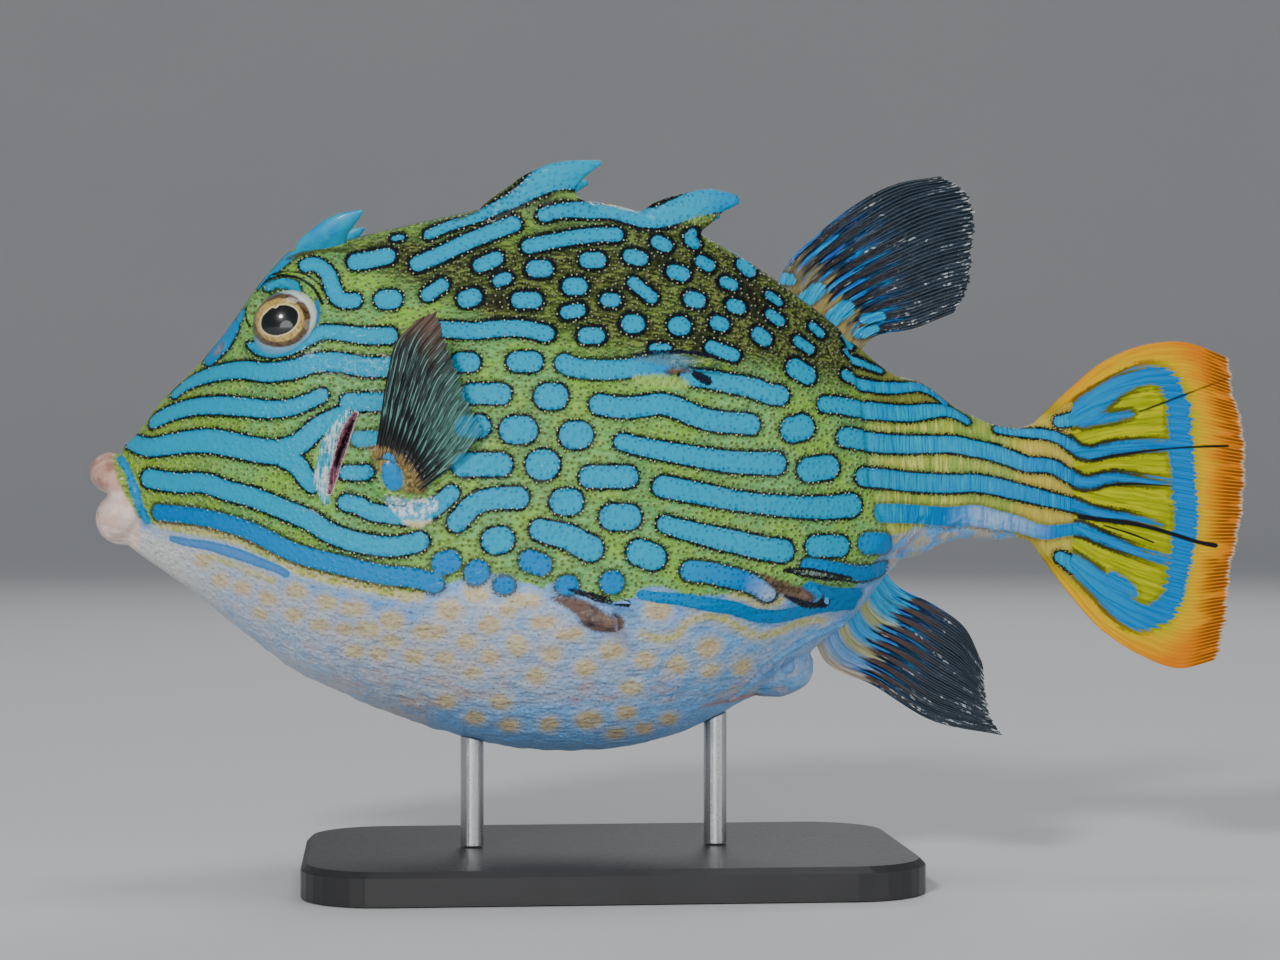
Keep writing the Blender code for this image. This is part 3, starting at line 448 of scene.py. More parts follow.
BACK_STRIPES = (
    (((-39.5, 37.8), (-35.5, 39.5), (-29.4, 41.7), (-27.0, 42.8), (-24.9, 43.9), (-22.9, 45.3),
      (-20.6, 46.8), (-17.8, 47.9), (-14.6, 48.0), (-11.0, 49.2)),
      (1.5, 1.5, 1.6, 1.8, 2.4, 3.2, 4.4, 5.4, 5.2, 4.2), (CYAN,), 1.0),
    (((-21.6, 41.1), (-18, 42), (-14.1, 42.1), (-10.5, 42.1), (-7.5, 41.4), (-5.1, 40.9), (-2.2, 41.2),
      (0.2, 42.1), (3.1, 43.2), (6.5, 44.0), (10.4, 43.8)), (2.2, 2.5, 2.6, 3.4, 4.4, 4.4),
     (CYAN, CYAN, CYAN, CYAN, 0.25), 1.0),
    (((2.9, 39.3), (1.9, 37.8), (3.5, 36.5)), (1.7,), (CYAN,), 1.0),
    (((-41.2, 33.3), (-37.4, 34.8), (-32.9, 37.0), (-28.5, 38.8), (-24.8, 40.1)), (2.4,), (CYAN,), 1.0),
    (((-24, 36.2), (-20.1, 37.1), (-16.5, 37.8), (-12.6, 38.3), (-8.7, 38.3)), (2.2,), (CYAN,), 1.0),
    (((-50.8, 33.7), (-47.4, 34.2), (-44.4, 34.9)), (2.5,), (CYAN,), 1.0),
    (((-37.4, 23.5), (-31.5, 23.2), (-28, 23.5), (-24.5, 23.6), (-19.6, 22.6)), (2.4,), (CYAN,), 1.0),
    (((-18.4, 18.6), (-16.5, 17.7), (-14, 17.3), (-11, 17.2), (-8, 17.4), (-5, 17.6), (-1.4, 17.3)), (2.8,),
     (CYAN, CYAN, CYAN, 0.25), 0.9),
    (((0.9, 16.2), (4, 15.9), (8, 15.2), (12, 14.4), (15, 13.4), (17.0, 13.2)), (2.4, 2.8, 3.0), (CYAN,),
      1.0),
)
SIDE_STRIPES = (
    (((-13, 12), (-10.5, 11.5), (-8, 11.3), (-5, 11.6), (-2.5, 11.9), (0, 11.3), (2.5, 10.2), (5, 9.4),
      (8, 9), (11, 8.8), (12.4, 8.4)), (3.0,), (CYAN,), 1.0),
    (((-9.4, 6.2), (-6.5, 5.4), (-4, 4.9), (0, 4.2), (4, 3.5), (8, 2.9), (11, 2.7), (14, 2.6), (16.4, 2.6)),
     (2.4, 2.9, 3.4), (CYAN,), 1.0),
    (((-3.0, -0.9), (0, -1.4), (4, -2.2), (8, -3), (12, -3.6), (16, -4.0), (20, -4.3), (24, -4.3),
      (28.2, -3.9)), (3.2, 2.8, 3.6), (CYAN,), 1.0),
    (((-2.6, -6.6), (-1, -7.2), (2, -8), (6, -9), (10, -9.9), (14, -10.8), (17.6, -11.2)), (2.4, 3.2, 3.4),
     (CYAN,), 1.0),
    (((1.3, -14.2), (5, -14.5), (8, -15.2), (11, -16), (13.5, -17.2), (15, -18.3)), (3.0, 3.0, 2.6),
     (0.15, 0.3, PALE), 0.9),
    (((19.8, -13.4), (24, -14), (30, -14.6), (33, -13.6)), (2.4, 2.6), (0.3,), 0.8),
    (((20, -17), (24, -18), (29, -18.2)), (2.6,), (0.3,), 0.2),
    (((-6.4, -17.8), (-3.4, -18.3), (0.6, -18.7), (4.6, -19.4), (8.4, -20.0), (12.4, -21.2), (16, -21.4),
      (20, -20.6), (24.4, -19.8), (28.6, -19.6)), (1.4, 2.2, 2.2, 1.8), (0.28,), 0.1),
    (((13.4, -29.8), (15.2, -29.0)), (2.2,), (0.85,), 0.0),
    (((17.0, -31.2), (17.7, -27.8)), (2.4,), (0.8,), 0.0),
    (((20.6, -29.0), (20.9, -26.8)), (1.5,), (0.8,), 0.0),
    (((-44.9, 2.4), (-44.3, 0.6), (-43.8, -1.0)), (3.2, 3.8, 3.2), (0.3,), 0.0),
    (((-35, -7.2), (-33.8, -6), (-32, -4), (-29.5, -3), (-27, -2.8), (-24, -2.8)), (2.8, 3.2), (CYAN,), 1.0),
    (((-22.2, -7.6), (-19.5, -8.3), (-17, -8.9), (-14.5, -10.3), (-12.8, -11)), (3.0, 3.6, 3.8), (CYAN,),
      1.0),
)
PEDUNCLE_STRIPES = (
    (((26, 24), (28, 22.5)), (1.4,), (CYAN,), 1.0),
    (((26, 20.6), (28, 19), (30, 18), (32, 17.3), (33, 16.9)), (1.2, 0.9), (CYAN,), 1.0),
    (((25.8, 16.8), (28, 15.6), (30, 14.9), (33, 14.5), (36, 14.6), (38, 14.8), (40, 14.3), (41.5, 13.4),
      (43.2, 11.6)), (1.7, 1.8, 1.0), (CYAN, 0.1), 1.0),
    (((22.5, 11.9), (25, 11.8), (28, 11.2), (31, 10.9), (34, 10.6), (37, 10.5), (40, 10.9), (43, 10.9),
      (45, 10), (46.7, 8.8)), (2.4, 2.6, 2.4, 1.0), (CYAN,), 1.0),
    (((25.8, 6.8), (29, 6.3), (32, 5.8), (36, 5.6), (40, 5.6), (44, 5.6), (47, 5), (50, 4.4), (53, 3.4),
      (56, 2.4), (58, 2.4), (60, 2), (62, 0.8), (64, -0.3)), (3.0, 2.6, 2.4, 1.8), (CYAN, CYAN, 0.25), 1.0),
    (((28.5, 0.5), (32, 0.3), (36, -0.2), (40, -0.5), (44, -0.6), (47, -0.5), (50, -0.9), (53, -1.6),
      (56, -2.3), (60, -3.3), (63, -4), (66, -5)), (2.8, 2.8, 2.4, 1.8), (CYAN, 0.1, 0.25), 1.0),
    (((31.5, -5.2), (36, -5.3), (40, -5.6), (44, -5.8), (47, -5.6), (50, -6.2), (54, -7), (57, -8),
      (59, -8.3), (62, -7.9), (64, -7.7)), (2.9, 2.9, 3.4, 2.4, 1.8), (CYAN, 0.3, 0.9, 0.85, 0.2), 0.4),
    (((50, 8.2), (52, 7.9), (55, 7.5), (58, 7.3), (60, 6.9), (62, 5.9), (64, 4.5)), (1.2, 1.6), (CYAN, 0.2),
      1.0),
    (((29.4, -10.0), (33.4, -9.9)), (3.4, 3.2), (0.15, 0.4), 0.6),
    (((60, 9.2), (62, 9.4), (64, 10), (65.5, 11)), (1.6, 2.4), (CYAN,), 1.0),
    (((60.2, -11.8), (63, -13.4), (66, -15.6)), (1.6, 3.0), (CYAN,), 1.0),
)
# Each spot: x, height, length, width, tilt.
BACK_SPOTS = (
    (-45, 28, 4.2, 2.9, 0), (-37.8, 29.5, 4.7, 2, 35), (-32.4, 28.3, 3.7, 2.6, 17),
    (-29.5, 33.9, 4.8, 2.2, 23), (-27.3, 31.2, 3, 1.8, 20), (-21.5, 32.9, 4, 2.6, 0),
    (-23.5, 28, 4.6, 2.4, 0), (-13.2, 34.3, 4, 2.4, 0), (-16, 30.2, 3.8, 2.6, 0), (-16.3, 26.3, 3.8, 2, 10),
    (-13.4, 22.5, 4, 2.4, 0), (-6.5, 34.8, 3.8, 2.3, -15), (-2.4, 36.9, 3.4, 2.1, -25),
    (-10.4, 28.1, 3, 2.1, 0), (-5.4, 29.7, 5.4, 1.8, -39), (-6.9, 24.4, 3.5, 2.8, 0),
    (0.2, 32.4, 3.6, 2.2, -15), (4.4, 33.9, 3.2, 2, -30), (0.4, 24.1, 3.4, 2.8, 0),
    (2.8, 28.2, 3.4, 2.4, -15), (8.2, 30.8, 3, 1.8, -20), (9.3, 27.2, 3, 2.2, -20),
    (6.7, 24.5, 3, 2.2, -15), (10.9, 33.3, 3.5, 2.2, -45), (15.3, 28.5, 3.2, 1.4, -35),
    (15.5, 25.5, 3.4, 1.8, -35), (13.4, 22.5, 3.4, 2.4, -40), (22, 23.5, 3, 1.4, -45),
    (20, 21.2, 3.8, 1.8, -35), (-2.6, 20.5, 3.4, 1.6, 0), (7.2, 20.2, 5.6, 2, -20), (19.6, 17, 5, 3, -30),
    (26.9, 21.9, 2.8, 1.6, -55), (-43.5, 37.6, 2, 0.8, 10),
)
SIDE_SPOTS = (
    (-33, 18.3, 4.3, 2.8, 0), (-23.8, 18.4, 5.4, 3, 0), (-19.7, 13, 5, 3.8, 0), (-29.8, 13.4, 7.5, 3, 0),
    (-24.8, 7.8, 5.6, 4, 0), (-32, 8.3, 5.5, 3.4, 0), (-15.8, 7, 5, 4, 0), (-21, 2.4, 5, 4.4, 0),
    (-30.5, 2.4, 9.3, 3.4, 0), (-10.7, 0.5, 9, 3.2, 0), (-17.3, -3.4, 4.9, 3.8, 0), (-8.9, -5.8, 6.2, 3.8, 0),
    (-28, -9.4, 4.8, 3.8, 10), (-4.8, -11.7, 6, 3.8, -20), (19, 8.1, 5.4, 3.8, 15), (22.3, 1.8, 6.6, 3.6, 8),
    (23.8, -10.4, 7, 3.2, 0),
)
LOW_SPOTS = (
    (-22.2, -12.9, 5, 3.2, -20), (-36, -12.8, 4.4, 3.4, 15), (-31.3, -14.3, 3.8, 3.4, 50),
    (-27, -16.4, 3.0, 2.4, 0), (-17.2, -16.4, 3.4, 2.8, 0), (-10.2, -16, 3.6, 3.4, 0),
)
# Tan spots of the belly: x, height, length, width.
BELLY_SPOTS = (
    (-3, -20.3, 3.4, 2.6), (5, -26.3, 3, 2.6), (-5, -28.1, 2.4, 2.2), (-10.2, -26.8, 3, 2.2),
    (0, -29, 2, 2.4), (5.2, -29.8, 2.2, 1.6), (10.3, -29.3, 2.4, 2.4), (-7.3, -32.4, 2.6, 1.6),
    (-14.3, -29.2, 2.4, 2), (-41.3, -18, 3, 1.2), (-35.4, -20.2, 3, 2.6), (-31.5, -17.8, 3, 1.6),
    (-38.5, -23.6, 4.4, 1.8), (-32.9, -25.1, 2.2, 1.8), (-29.3, -22.6, 2.6, 2.2), (-24, -18.8, 4.4, 1.4),
    (-26.5, -20.3, 2, 1.4), (-25, -25.7, 2.6, 2.6), (-21, -22.3, 3, 1.4), (-19.6, -27.2, 2.2, 2),
    (-16.8, -24, 3.6, 1.2), (-29.3, -27.5, 2.2, 1.6), (-36.3, -27.6, 2.4, 1.6), (-41, -27.4, 2.4, 1.6),
    (-32, -30, 2, 1.4), (-22, -30.6, 2.4, 2), (-36, -34.4, 2.4, 1.8), (-27.5, -34.6, 2.4, 2),
    (-31.6, -37.0, 2.4, 2), (-26.2, -38.2, 2.4, 1.8), (-20, -38.0, 2.4, 2), (-13.8, -37.4, 3.4, 2.8),
    (-8, -36.4, 2.4, 2), (-9.6, -39.6, 2.4, 1.8), (-5.2, -38.8, 2.2, 1.6), (-1.3, -37.4, 2.2, 1.8),
    (-73.5, -12.5, 2, 1.6), (-70.9, -15.6, 2, 1.6), (-67.5, -16.6, 2.2, 1.6), (-63.5, -18.3, 2.2, 1.6),
    (-64.8, -20.7, 2, 1.4), (-59.2, -17.2, 2.6, 2), (-54.6, -19, 2.4, 1.8), (-59.5, -20.9, 2.2, 1.6),
    (-55.6, -22.4, 2.2, 1.6), (-50.3, -20, 3, 1.6), (-51.8, -23.2, 2.2, 1.6), (-44.4, -21.8, 3, 2.2),
    (-48.2, -23.2, 3, 2), (-44.4, -25, 2.2, 1.6), (-50.2, -26.6, 2.2, 1.6), (-46.5, -27, 2.2, 1.6),
    (-39.5, -23.3, 2, 1.6),
)
# Yellow lines of the lower side.
GOLD_LINES = (
    (((-81, -6.5), (-78, -7), (-74, -7.8), (-71, -8.2), (-68, -9.2), (-65, -10.4), (-62, -12), (-60, -13.3),
      (-58, -14), (-55, -14.9), (-52, -15.7), (-48, -16.5), (-44, -17.5), (-41, -18.3)), (1.6,)),
    (((-75, -12), (-72, -12), (-69, -13), (-66, -14.3), (-63, -15.4), (-62, -15.8)), (1.0,)),
    (((-6, -24), (-4.5, -24.4), (-2, -24.9), (0, -24.2), (1.5, -22.5), (3.5, -21.4), (6, -21.5), (8, -22.1),
      (10, -23.3), (12, -24.3), (14, -24.4), (16.5, -23.6), (18.5, -22.6), (21, -22.1), (24, -22.2)), (1.3,)),
    (((8, -17.8), (11, -18.4), (12.5, -19.4), (14, -19.8), (16, -19.1), (17, -18)), (1.0,)),
)
# Where the green of the side ends above the belly: x, height.
BELLY_EDGE = (
    (-86, -5.0), (-82, -6.6), (-78, -7.9), (-74, -8.6), (-71, -9.2), (-68, -10.1), (-65, -11.4), (-62, -12.9),
    (-58, -14.9), (-55, -15.8), (-52, -16.5), (-48, -17.4), (-44, -18.2), (-41, -18.4), (-38, -16.4),
    (-33, -15.5), (-30, -13.6), (-28.3, -14.9), (-27, -14.7), (-25.5, -15.2), (-24, -16), (-21, -16.9),
    (-19, -15.6), (-17.5, -14.9), (-16.2, -15.3), (-15, -17.4), (-11, -19.0), (-7, -18.5), (-5.5, -17),
    (-3.5, -16.6), (-1, -17), (0.5, -17.8), (3, -18.2), (8, -18.2), (12, -18.8), (17, -17.4), (22, -18.6),
    (28, -17.0), (31, -13.0), (34, -8.8), (38.4, -7.4), (43, -6.7), (46, -5.4), (50, -6.4), (54, -8.8),
    (57, -11.5), (62, -18.5), (66, -24.0),
)
# Paints of the spines' sheaths and the fin's root: strokes of points and widths.
PAINTS = {
    "sheath": (
        (((-19.6, -18.4), (-15.5, -19.7), (-12.3, -22.0), (-9.8, -22.4)), (0.6, 2.4, 3.8, 3.2)),
        (((13.4, -14.8), (16.1, -16.6), (19.2, -18.0), (22.6, -18.6)), (0.7, 2.2, 2.8, 1.8)),
        (((-1.6, 16.9), (0.2, 17.2), (2.0, 17.0)), (0.9, 1.4, 0.8)),
    ),
    "flap": (
        (((-7.0, 18.9), (-3.0, 18.8), (1.4, 18.4), (5.0, 18.2), (7.0, 18.0)), (0.5, 1.6, 2.6, 1.9, 0.6)),
    ),
    "navy": (
        (((2.9, 16.5), (3.9, 16.0), (4.9, 15.5)), (1.1, 1.5, 1.3)),
        (((17.0, -18.2), (20.4, -19.4), (23.4, -19.3)), (0.5, 1.3, 1.7)),
        (((-7.6, 19.5), (-2.6, 20.0), (2.2, 20.0), (6.4, 19.1)), (0.3, 0.7, 0.6)),
    ),
    "blade": (
        (((16.8, -14.1), (20.0, -14.5), (24.0, -15.1), (27.4, -15.6)), (0.6, 1.6, 1.5, 0.8)),
        (((-16.8, -17.1), (-12.3, -18.4), (-7.8, -19.3)), (0.5, 1.2, 1.0)),
    ),
    "lime": (
        (((-21.0, 44.0), (-18.3, 44.6), (-16.0, 44.0)), (0.8, 1.5, 1.2)),
        (((0.4, 39.9), (3.2, 40.8), (6.2, 41.5)), (0.7, 1.5, 1.0)),
        (((-6.4, 15.7), (-2.6, 15.5), (1.0, 15.0)), (1.0, 1.8, 1.4)),
    ),
    "moss": (
        (((-34.6, 40.2), (-31.5, 42.1), (-29.3, 43.8), (-26.5, 46.2), (-23.4, 48.8)),
          (0.3, 0.8, 1.1, 1.1, 0.3)),
        (((-7.4, 42.1), (-4.6, 43.9), (-1.2, 45.7), (1.6, 46.8)), (0.5, 1.1, 1.1, 0.4)),
        (((-60.6, 34.2), (-58.4, 35.0), (-55.4, 35.4), (-51.4, 35.6)), (0.5, 0.8, 0.8)),
    ),
    "pink": (
        (((4, -35.4), (8, -34.6), (12, -33.6), (16, -32.6), (19.2, -30.9), (21.6, -27.6)),
          (0.8, 1.6, 2.0, 1.4)),
        (((9, -33.4), (12, -30.9), (14, -28.8), (16, -27.2), (18.5, -25.5), (20.5, -24.6)), (0.3, 0.6, 0.4)),
        (((38.0, -8.0), (36.0, -10.4), (34.2, -12.4)), (0.6, 0.9)),
    ),
    "lobe": ((((-46.8, 5.0), (-45.2, 3.2), (-43.0, 1.0), (-40.4, -0.8)), (2.4, 4.6, 5.4, 3.0)),),
    "fan": (
        (((-45.0, -2.6), (-43.0, -4.1), (-40.6, -4.7), (-38.4, -3.8)), (1.4, 2.8, 3.2, 2.0)),
        (((-42.6, -6.3), (-40.4, -6.9), (-38.6, -6.3)), (0.6, 1.1, 0.6)),
    ),
}
EYE_LINES = (
    (((-65.4, 29.2), (-63.4, 31.0), (-60.8, 31.5), (-58.2, 30.9), (-56.1, 29.3), (-55.0, 27.2)), 0.22),
    (((-64.6, 30.6), (-62.4, 32.0), (-60.0, 32.2), (-57.4, 31.6), (-55.2, 30.0)), 0.17),
    (((-66.6, 28.2), (-66.9, 26.4), (-66.4, 23.8)), 0.16),
)
# Rear edge of the lips: height and x.
LIP_EDGE = (
    (-12.0, -84.2), (-10.2, -83.2), (-8.0, -82.6), (-6.0, -82.7), (-4.2, -83.5), (-2.2, -84.9), (0.0, -85.8),
    (2.0, -86.5), (4.4, -87.1), (6.0, -87.2),
)
# Fins, in their own plane: x, height.
DORSAL_FIN = {
    "base": ((15.0, 27.4), (22.0, 22.6), (27.8, 18.0)),
    "first": ((15.0, 27.4), (17.2, 33.6), (22.0, 38.4), (27.4, 42.8), (34.6, 46.6), (41.4, 47.9)),
    "outer": ((41.4, 47.9), (45.6, 45.4), (46.9, 42.0), (46.5, 36.1), (45.9, 30.4), (43.9, 26.4)),
    "last": ((27.8, 18.0), (30.4, 22.0), (37.6, 23.9), (43.9, 26.4)),
    "rays": 10,
    "root": 1.7,
    "fleshy": 0.22,
    "splits": 2,
    "pleat": 0.22,
    "columns": 260,
    "rows": 90,
}
ANAL_FIN = {
    "base": ((31.2, -11.6), (27.6, -17.6), (21.2, -22.8)),
    "first": ((31.2, -11.6), (34.6, -16.4), (41.0, -19.8), (45.6, -23.2), (48.4, -28.6)),
    "outer": ((48.4, -28.6), (48.8, -34.0), (49.4, -37.2), (51.4, -40.3)),
    "last": ((21.2, -22.8), (23.2, -28.2), (31.0, -32.3), (40.6, -38.0), (51.4, -40.3)),
    "rays": 10,
    "root": 1.5,
    "fleshy": 0.22,
    "splits": 2,
    "pleat": 0.2,
    "columns": 260,
    "rows": 90,
}
TAIL_FIN = {
    "base": ((56.3, 8.7), (56.3, 0.0), (56.3, -9.9)),
    "first": ((56.3, 8.7), (62.0, 14.0), (68.0, 18.8), (74.0, 21.3), (81.0, 21.9), (88.2, 19.4)),
    "outer": ((88.2, 19.4), (88.6, 14.8), (90.2, 9.0), (90.6, 0.0), (89.8, -7.6), (88.4, -14.0),
              (87.6, -22.4), (86.2, -28.6)),
    "last": ((56.3, -9.9), (62.0, -17.5), (68.0, -24.0), (74.0, -27.8), (80.0, -29.9), (86.2, -28.6)),
    "rays": 11,
    "root": 2.3,
    "fleshy": 0.4,
    "splits": 3,
    "pleat": 0.1,
    "columns": 460,
    "rows": 110,
}
PECTORAL_FIN = {
    "base": ((-47.0, 3.4), (-43.2, 2.2), (-40.4, -1.6)),
    "first": ((-47.0, 3.4), (-46.2, 8.6), (-45.0, 15.9), (-43.9, 19.9), (-40.9, 23.2)),
    "outer": ((-40.9, 23.2), (-38.4, 24.2), (-37.0, 20.6), (-35.0, 15.4), (-33.2, 10.6), (-31.2, 7.2)),
    "last": ((-40.4, -1.6), (-37.0, 0.9), (-33.8, 3.7), (-31.2, 7.2)),
    "rays": 13,
    "root": 0.9,
    "fleshy": 0.16,
    "splits": 1,
    "pleat": 0.12,
    "columns": 280,
    "rows": 90,
}
FIN_EDGE = 0.12
RAY_RISE = 0.15
RAY_WIDTH = 0.26
EDGE_RISE = 0.16
TOOTH = 0.45

ROOT_PATCH = (((-45.2, 4.0), (-44.6, 1.6), (-43.9, -1.6)), (1.5, 2.5, 1.4), (0.3,), 0.3)
LOBE_OUTLINE = (
    (-47.5, 5.5), (-45, 4.8), (-42.5, 3.5), (-41, 1.5), (-40, 0), (-40.5, -2.5), (-43, -3.2), (-45.5, -2.5),
    (-47.5, -0.5), (-48.5, 2),
)
# Blue bands of the tail fin: points, widths, hues, outline.
TAIL_BANDS = (
    (((56, 2.4), (58, 2.4), (60, 2), (62, 0.8), (64, -0.3), (66, -0.4), (68, 0.2), (70, 0.4), (73, 0.1),
      (76, -0.2), (80, -0.4)), (2.2, 1.8, 1.4, 0.6), (0.2, 0.3), 1.0),
    (((56, -2.3), (60, -3.3), (63, -4), (66, -5), (69, -5.6), (72, -6), (75, -6.8), (78, -7.4)),
      (2.2, 1.5, 0.5), (0.2, 0.3), 1.0),
    (((57, -8), (59, -8.3), (62, -7.9), (64, -7.7), (66, -8.5), (69, -9.7), (72, -10.9), (75, -12),
      (79, -12.9)), (2.2, 1.6, 1.4), (0.1, 0.35), 1.0),
    (((58, 7.3), (60, 6.9), (62, 5.9), (64, 4.5), (66, 4.2), (68, 4.7), (72, 5.3), (76, 5.4), (80, 5.5)),
     (1.5, 1.8, 1.8), (0.1, 0.35), 1.0),
    (((60.0, 8.7), (62.3, 9.6), (64.8, 11.0), (67.6, 13.1), (70.2, 14.9), (73.4, 16.2), (76, 16.7),
      (78.3, 15.6), (79.7, 12.8), (80.2, 9), (80.4, 5), (80.7, 1), (81.0, -3), (81.2, -6), (81.0, -9),
      (80.4, -12.4), (79.7, -16), (78.6, -19.4), (76.4, -21.4), (73.4, -21.8), (70.6, -19.8), (67.6, -16.8),
      (64, -13.8), (60.6, -11.4)),
      (1.0, 4.2, 3.0, 2.8, 3.4, 3.8, 3.8, 3.8, 3.8, 3.4, 3.4, 4.2, 4.0, 3.4, 1.8),
      (0.1, 0.3, 0.3, 0.3, 0.1), 0.8),
    (((63.6, 9.2), (66.4, 9.6), (69.6, 10.0), (73.0, 10.6)), (2.0, 1.6, 0.9), (0.25,), 0.8),
    (((68.6, -15.4), (71.6, -16.8), (73.6, -18.6)), (2.8, 1.8, 0.8), (0.25,), 0.4),
)
TAIL_RAYS = (
    (((64, -5.8), (68, -6.3), (72, -6.8), (76, -7.7), (80, -8.9), (83, -9.8), (86, -10.4)), 0.34),
    (((66, 3.2), (70, 3.9), (75, 4.6), (80, 5.1), (84, 5.3), (88, 5.4)), 0.17),
    (((67, -1.3), (71, -0.6), (75, -0.7), (79, -1.0)), 0.12),
    (((73.6, 10.8), (78, 12.4), (83, 14.3), (87.6, 16.0)), 0.12),
    (((68, -7.2), (72, -8.4), (76, -9.9)), 0.12),
)
# Line inside which the tail fin is olive yellow, outside which it is orange.
TAIL_INNER = (
    (46, 12), (57, 10.4), (60, 10.4), (64, 11.2), (68, 14.4), (72, 17.1), (77, 18.0), (80, 15.4),
    (81.8, 11), (82.2, 4), (82.4, -4), (82.4, -9), (80.9, -14), (80.2, -20), (78.4, -22.8), (74, -23.6),
    (70, -21.6), (66, -17.8), (62, -14.6), (59, -12.2), (57, -11.8), (46, -14),
)
DORSAL_BANDS = (
    (((15.6, 31.8), (18.4, 31.3)), (1.8,), (0.1,), 0.7),
    (((19.2, 27.6), (22.9, 30.2)), (2.4,), (0.1,), 0.7),
    (((23.9, 25.0), (27.4, 27.4)), (2.6,), (0.1,), 0.7),
    (((28.9, 25.3), (33.0, 25.7)), (1.6,), (0.1,), 0.7),
    (((27.8, 22.8), (32.0, 23.8)), (1.5,), (0.1,), 0.7),
)
# Colours across the roots of the dorsal and anal fins, from the first ray to the last.
DORSAL_ROOT = (
    (0.0, (0.16, 0.13, 0.04)), (0.30, (0.30, 0.22, 0.05)), (0.62, (0.42, 0.30, 0.06)),
    (1.0, (0.24, 0.20, 0.08)),
)
ANAL_ROOT = (
    (0.0, (0.02, 0.45, 0.80)), (0.28, (0.02, 0.42, 0.80)), (0.36, (0.50, 0.50, 0.20)),
    (0.42, (0.46, 0.44, 0.16)), (0.48, (0.03, 0.38, 0.80)), (0.60, (0.05, 0.36, 0.80)),
    (0.66, (0.54, 0.52, 0.24)), (0.71, (0.46, 0.42, 0.18)), (0.77, (0.16, 0.42, 0.80)),
    (0.88, (0.24, 0.42, 0.76)), (0.96, (0.52, 0.42, 0.30)),
)
# Oval zones of the eye as the camera sees them: half length, half height, tilt.
IRIS = (-61.7, 24.7)
PUPIL_OVAL = (2.9, 2.15, 24.0)
IRIS_OVAL = (3.75, 3.35, 12.0)
BROWN_OVAL = (4.75, 4.15, 6.0)
# Lower edge of the dark back: x, height. Its black-brown patches: x, height.
DARK_EDGE = (
    (-54, 36.0), (-46, 31.0), (-38, 27.5), (-30, 25.0), (-20, 21.5), (-10, 18.8), (5, 18.0), (15, 16.5),
    (26, 14.0), (32, 16.0), (40, 20.0),
)
DARK_PATCHES = ((-9.9, 28.6), (4.6, 21.5), (-28.1, 27.0), (13.4, 26.4), (-2.0, 34.4), (10.4, 30.0))
DARK_PATCH_SIZE = 2.4
# Rows of spots between the shoulder ridges and down the forehead: y, first x, last x, gap.
DECK_ROWS = (
    (-9.4, -52.0, 12.0, 2.0),
    (-4.7, -57.0, 16.0, 1.8),
    (0.2, -81.0, 19.0, 2.1),
    (5.0, -56.0, 15.0, 1.9),
    (9.7, -53.0, 11.0, 2.0),
)
# Where those spots lie: x range, least upward share of the normal, and the rest in millimetres.
DECK_X = (-60.0, 24.0)
DECK_UP = 0.8
DECK_FLOOR = 10.0
DECK_MARGIN = 0.8
FOREHEAD_X = (-81.0, -60.0)
FOREHEAD_UP = 0.3
FOREHEAD_HALF = 4.0
TAIL_ROOT_X = 56.0


class Mark:
    """A line on the skin with its half width, hue and outline at each point."""

    def __init__(self, points, radii, hues, outline):
        self.points = points
        self.radii = radii
        self.hues = hues
        self.outline = outline


def along(values, shares):
    """Values spread evenly over a line, read at shares of its length."""
    return np.interp(shares, np.linspace(0, 1, len(values)), values)


def sway(places, side):
    """The right side's markings stray from the left side's behind the gills."""
    places = np.array(places, float)
    if side < 0:
        return places
    x, height = places.T
    share = step_between(-56.0, -44.0, x) * (1 - step_between(40.0, 54.0, x))
    moved_x = x + share * (1.5 * np.sin(0.19 * x + 0.11 * height + 0.8) + 0.8 * np.sin(0.41 * height))
    moved_height = height + share * (0.9 * np.sin(0.16 * x - 0.13 * height + 2.1))
    return np.column_stack((moved_x, moved_height))


def line_mark(points, stripe, place):
    """A stripe's mark along points of the middle plane, set in space by place."""
    _, widths, hues, outline = stripe
    line, run = spline(points, MARK_STEP)
    shares = run / run[-1]
    radii = along(widths, shares) / 2
    inset = np.minimum(END_SHARE * radii, MOST_INSET * run[-1])
    inner = (run >= inset[0]) & (run <= run[-1] - inset[-1])
    return Mark(place(line[inner]), radii[inner], along(hues, shares)[inner], outline)


def stripe_mark(stripe, side):
    return line_mark(sway(stripe[0], side), stripe, cast)


def upright(places):
    """Places of the middle plane as points in space."""
    return np.column_stack((places[:, 0], np.zeros(len(places)), places[:, 1]))


def spot_mark(spot, side, hue=CYAN, outline=1.0):
    x, height, length, width = spot[:4]
    tilt = math.radians(spot[4] if len(spot) > 4 else 0.0)
    reach = max(0.01, (length - width) / 2)
    ends = [(x + k * reach * math.cos(tilt), height + k * reach * math.sin(tilt)) for k in (-1, 1)]
    line = cast(sway(ends, side))
    return Mark(line, np.full(2, width / 2), np.full(2, hue), outline)


def side_marks(side):
    marks = []
    for group in (HEAD_STRIPES, HEAD_FAINT_STRIPES, BACK_STRIPES, SIDE_STRIPES, PEDUNCLE_STRIPES):
        marks += [stripe_mark(stripe, side) for stripe in group]
    marks += [spot_mark(spot, side) for spot in BACK_SPOTS + SIDE_SPOTS]
    marks += [spot_mark(spot, side, 0.35, 0.7) for spot in LOW_SPOTS]
    return marks


def belly_marks(side):
    marks = [stripe_mark((points, widths, (CYAN,), 0.0), side) for points, widths in GOLD_LINES]
    marks += [spot_mark(spot, side, PALE) for spot in BELLY_SPOTS]
    return marks


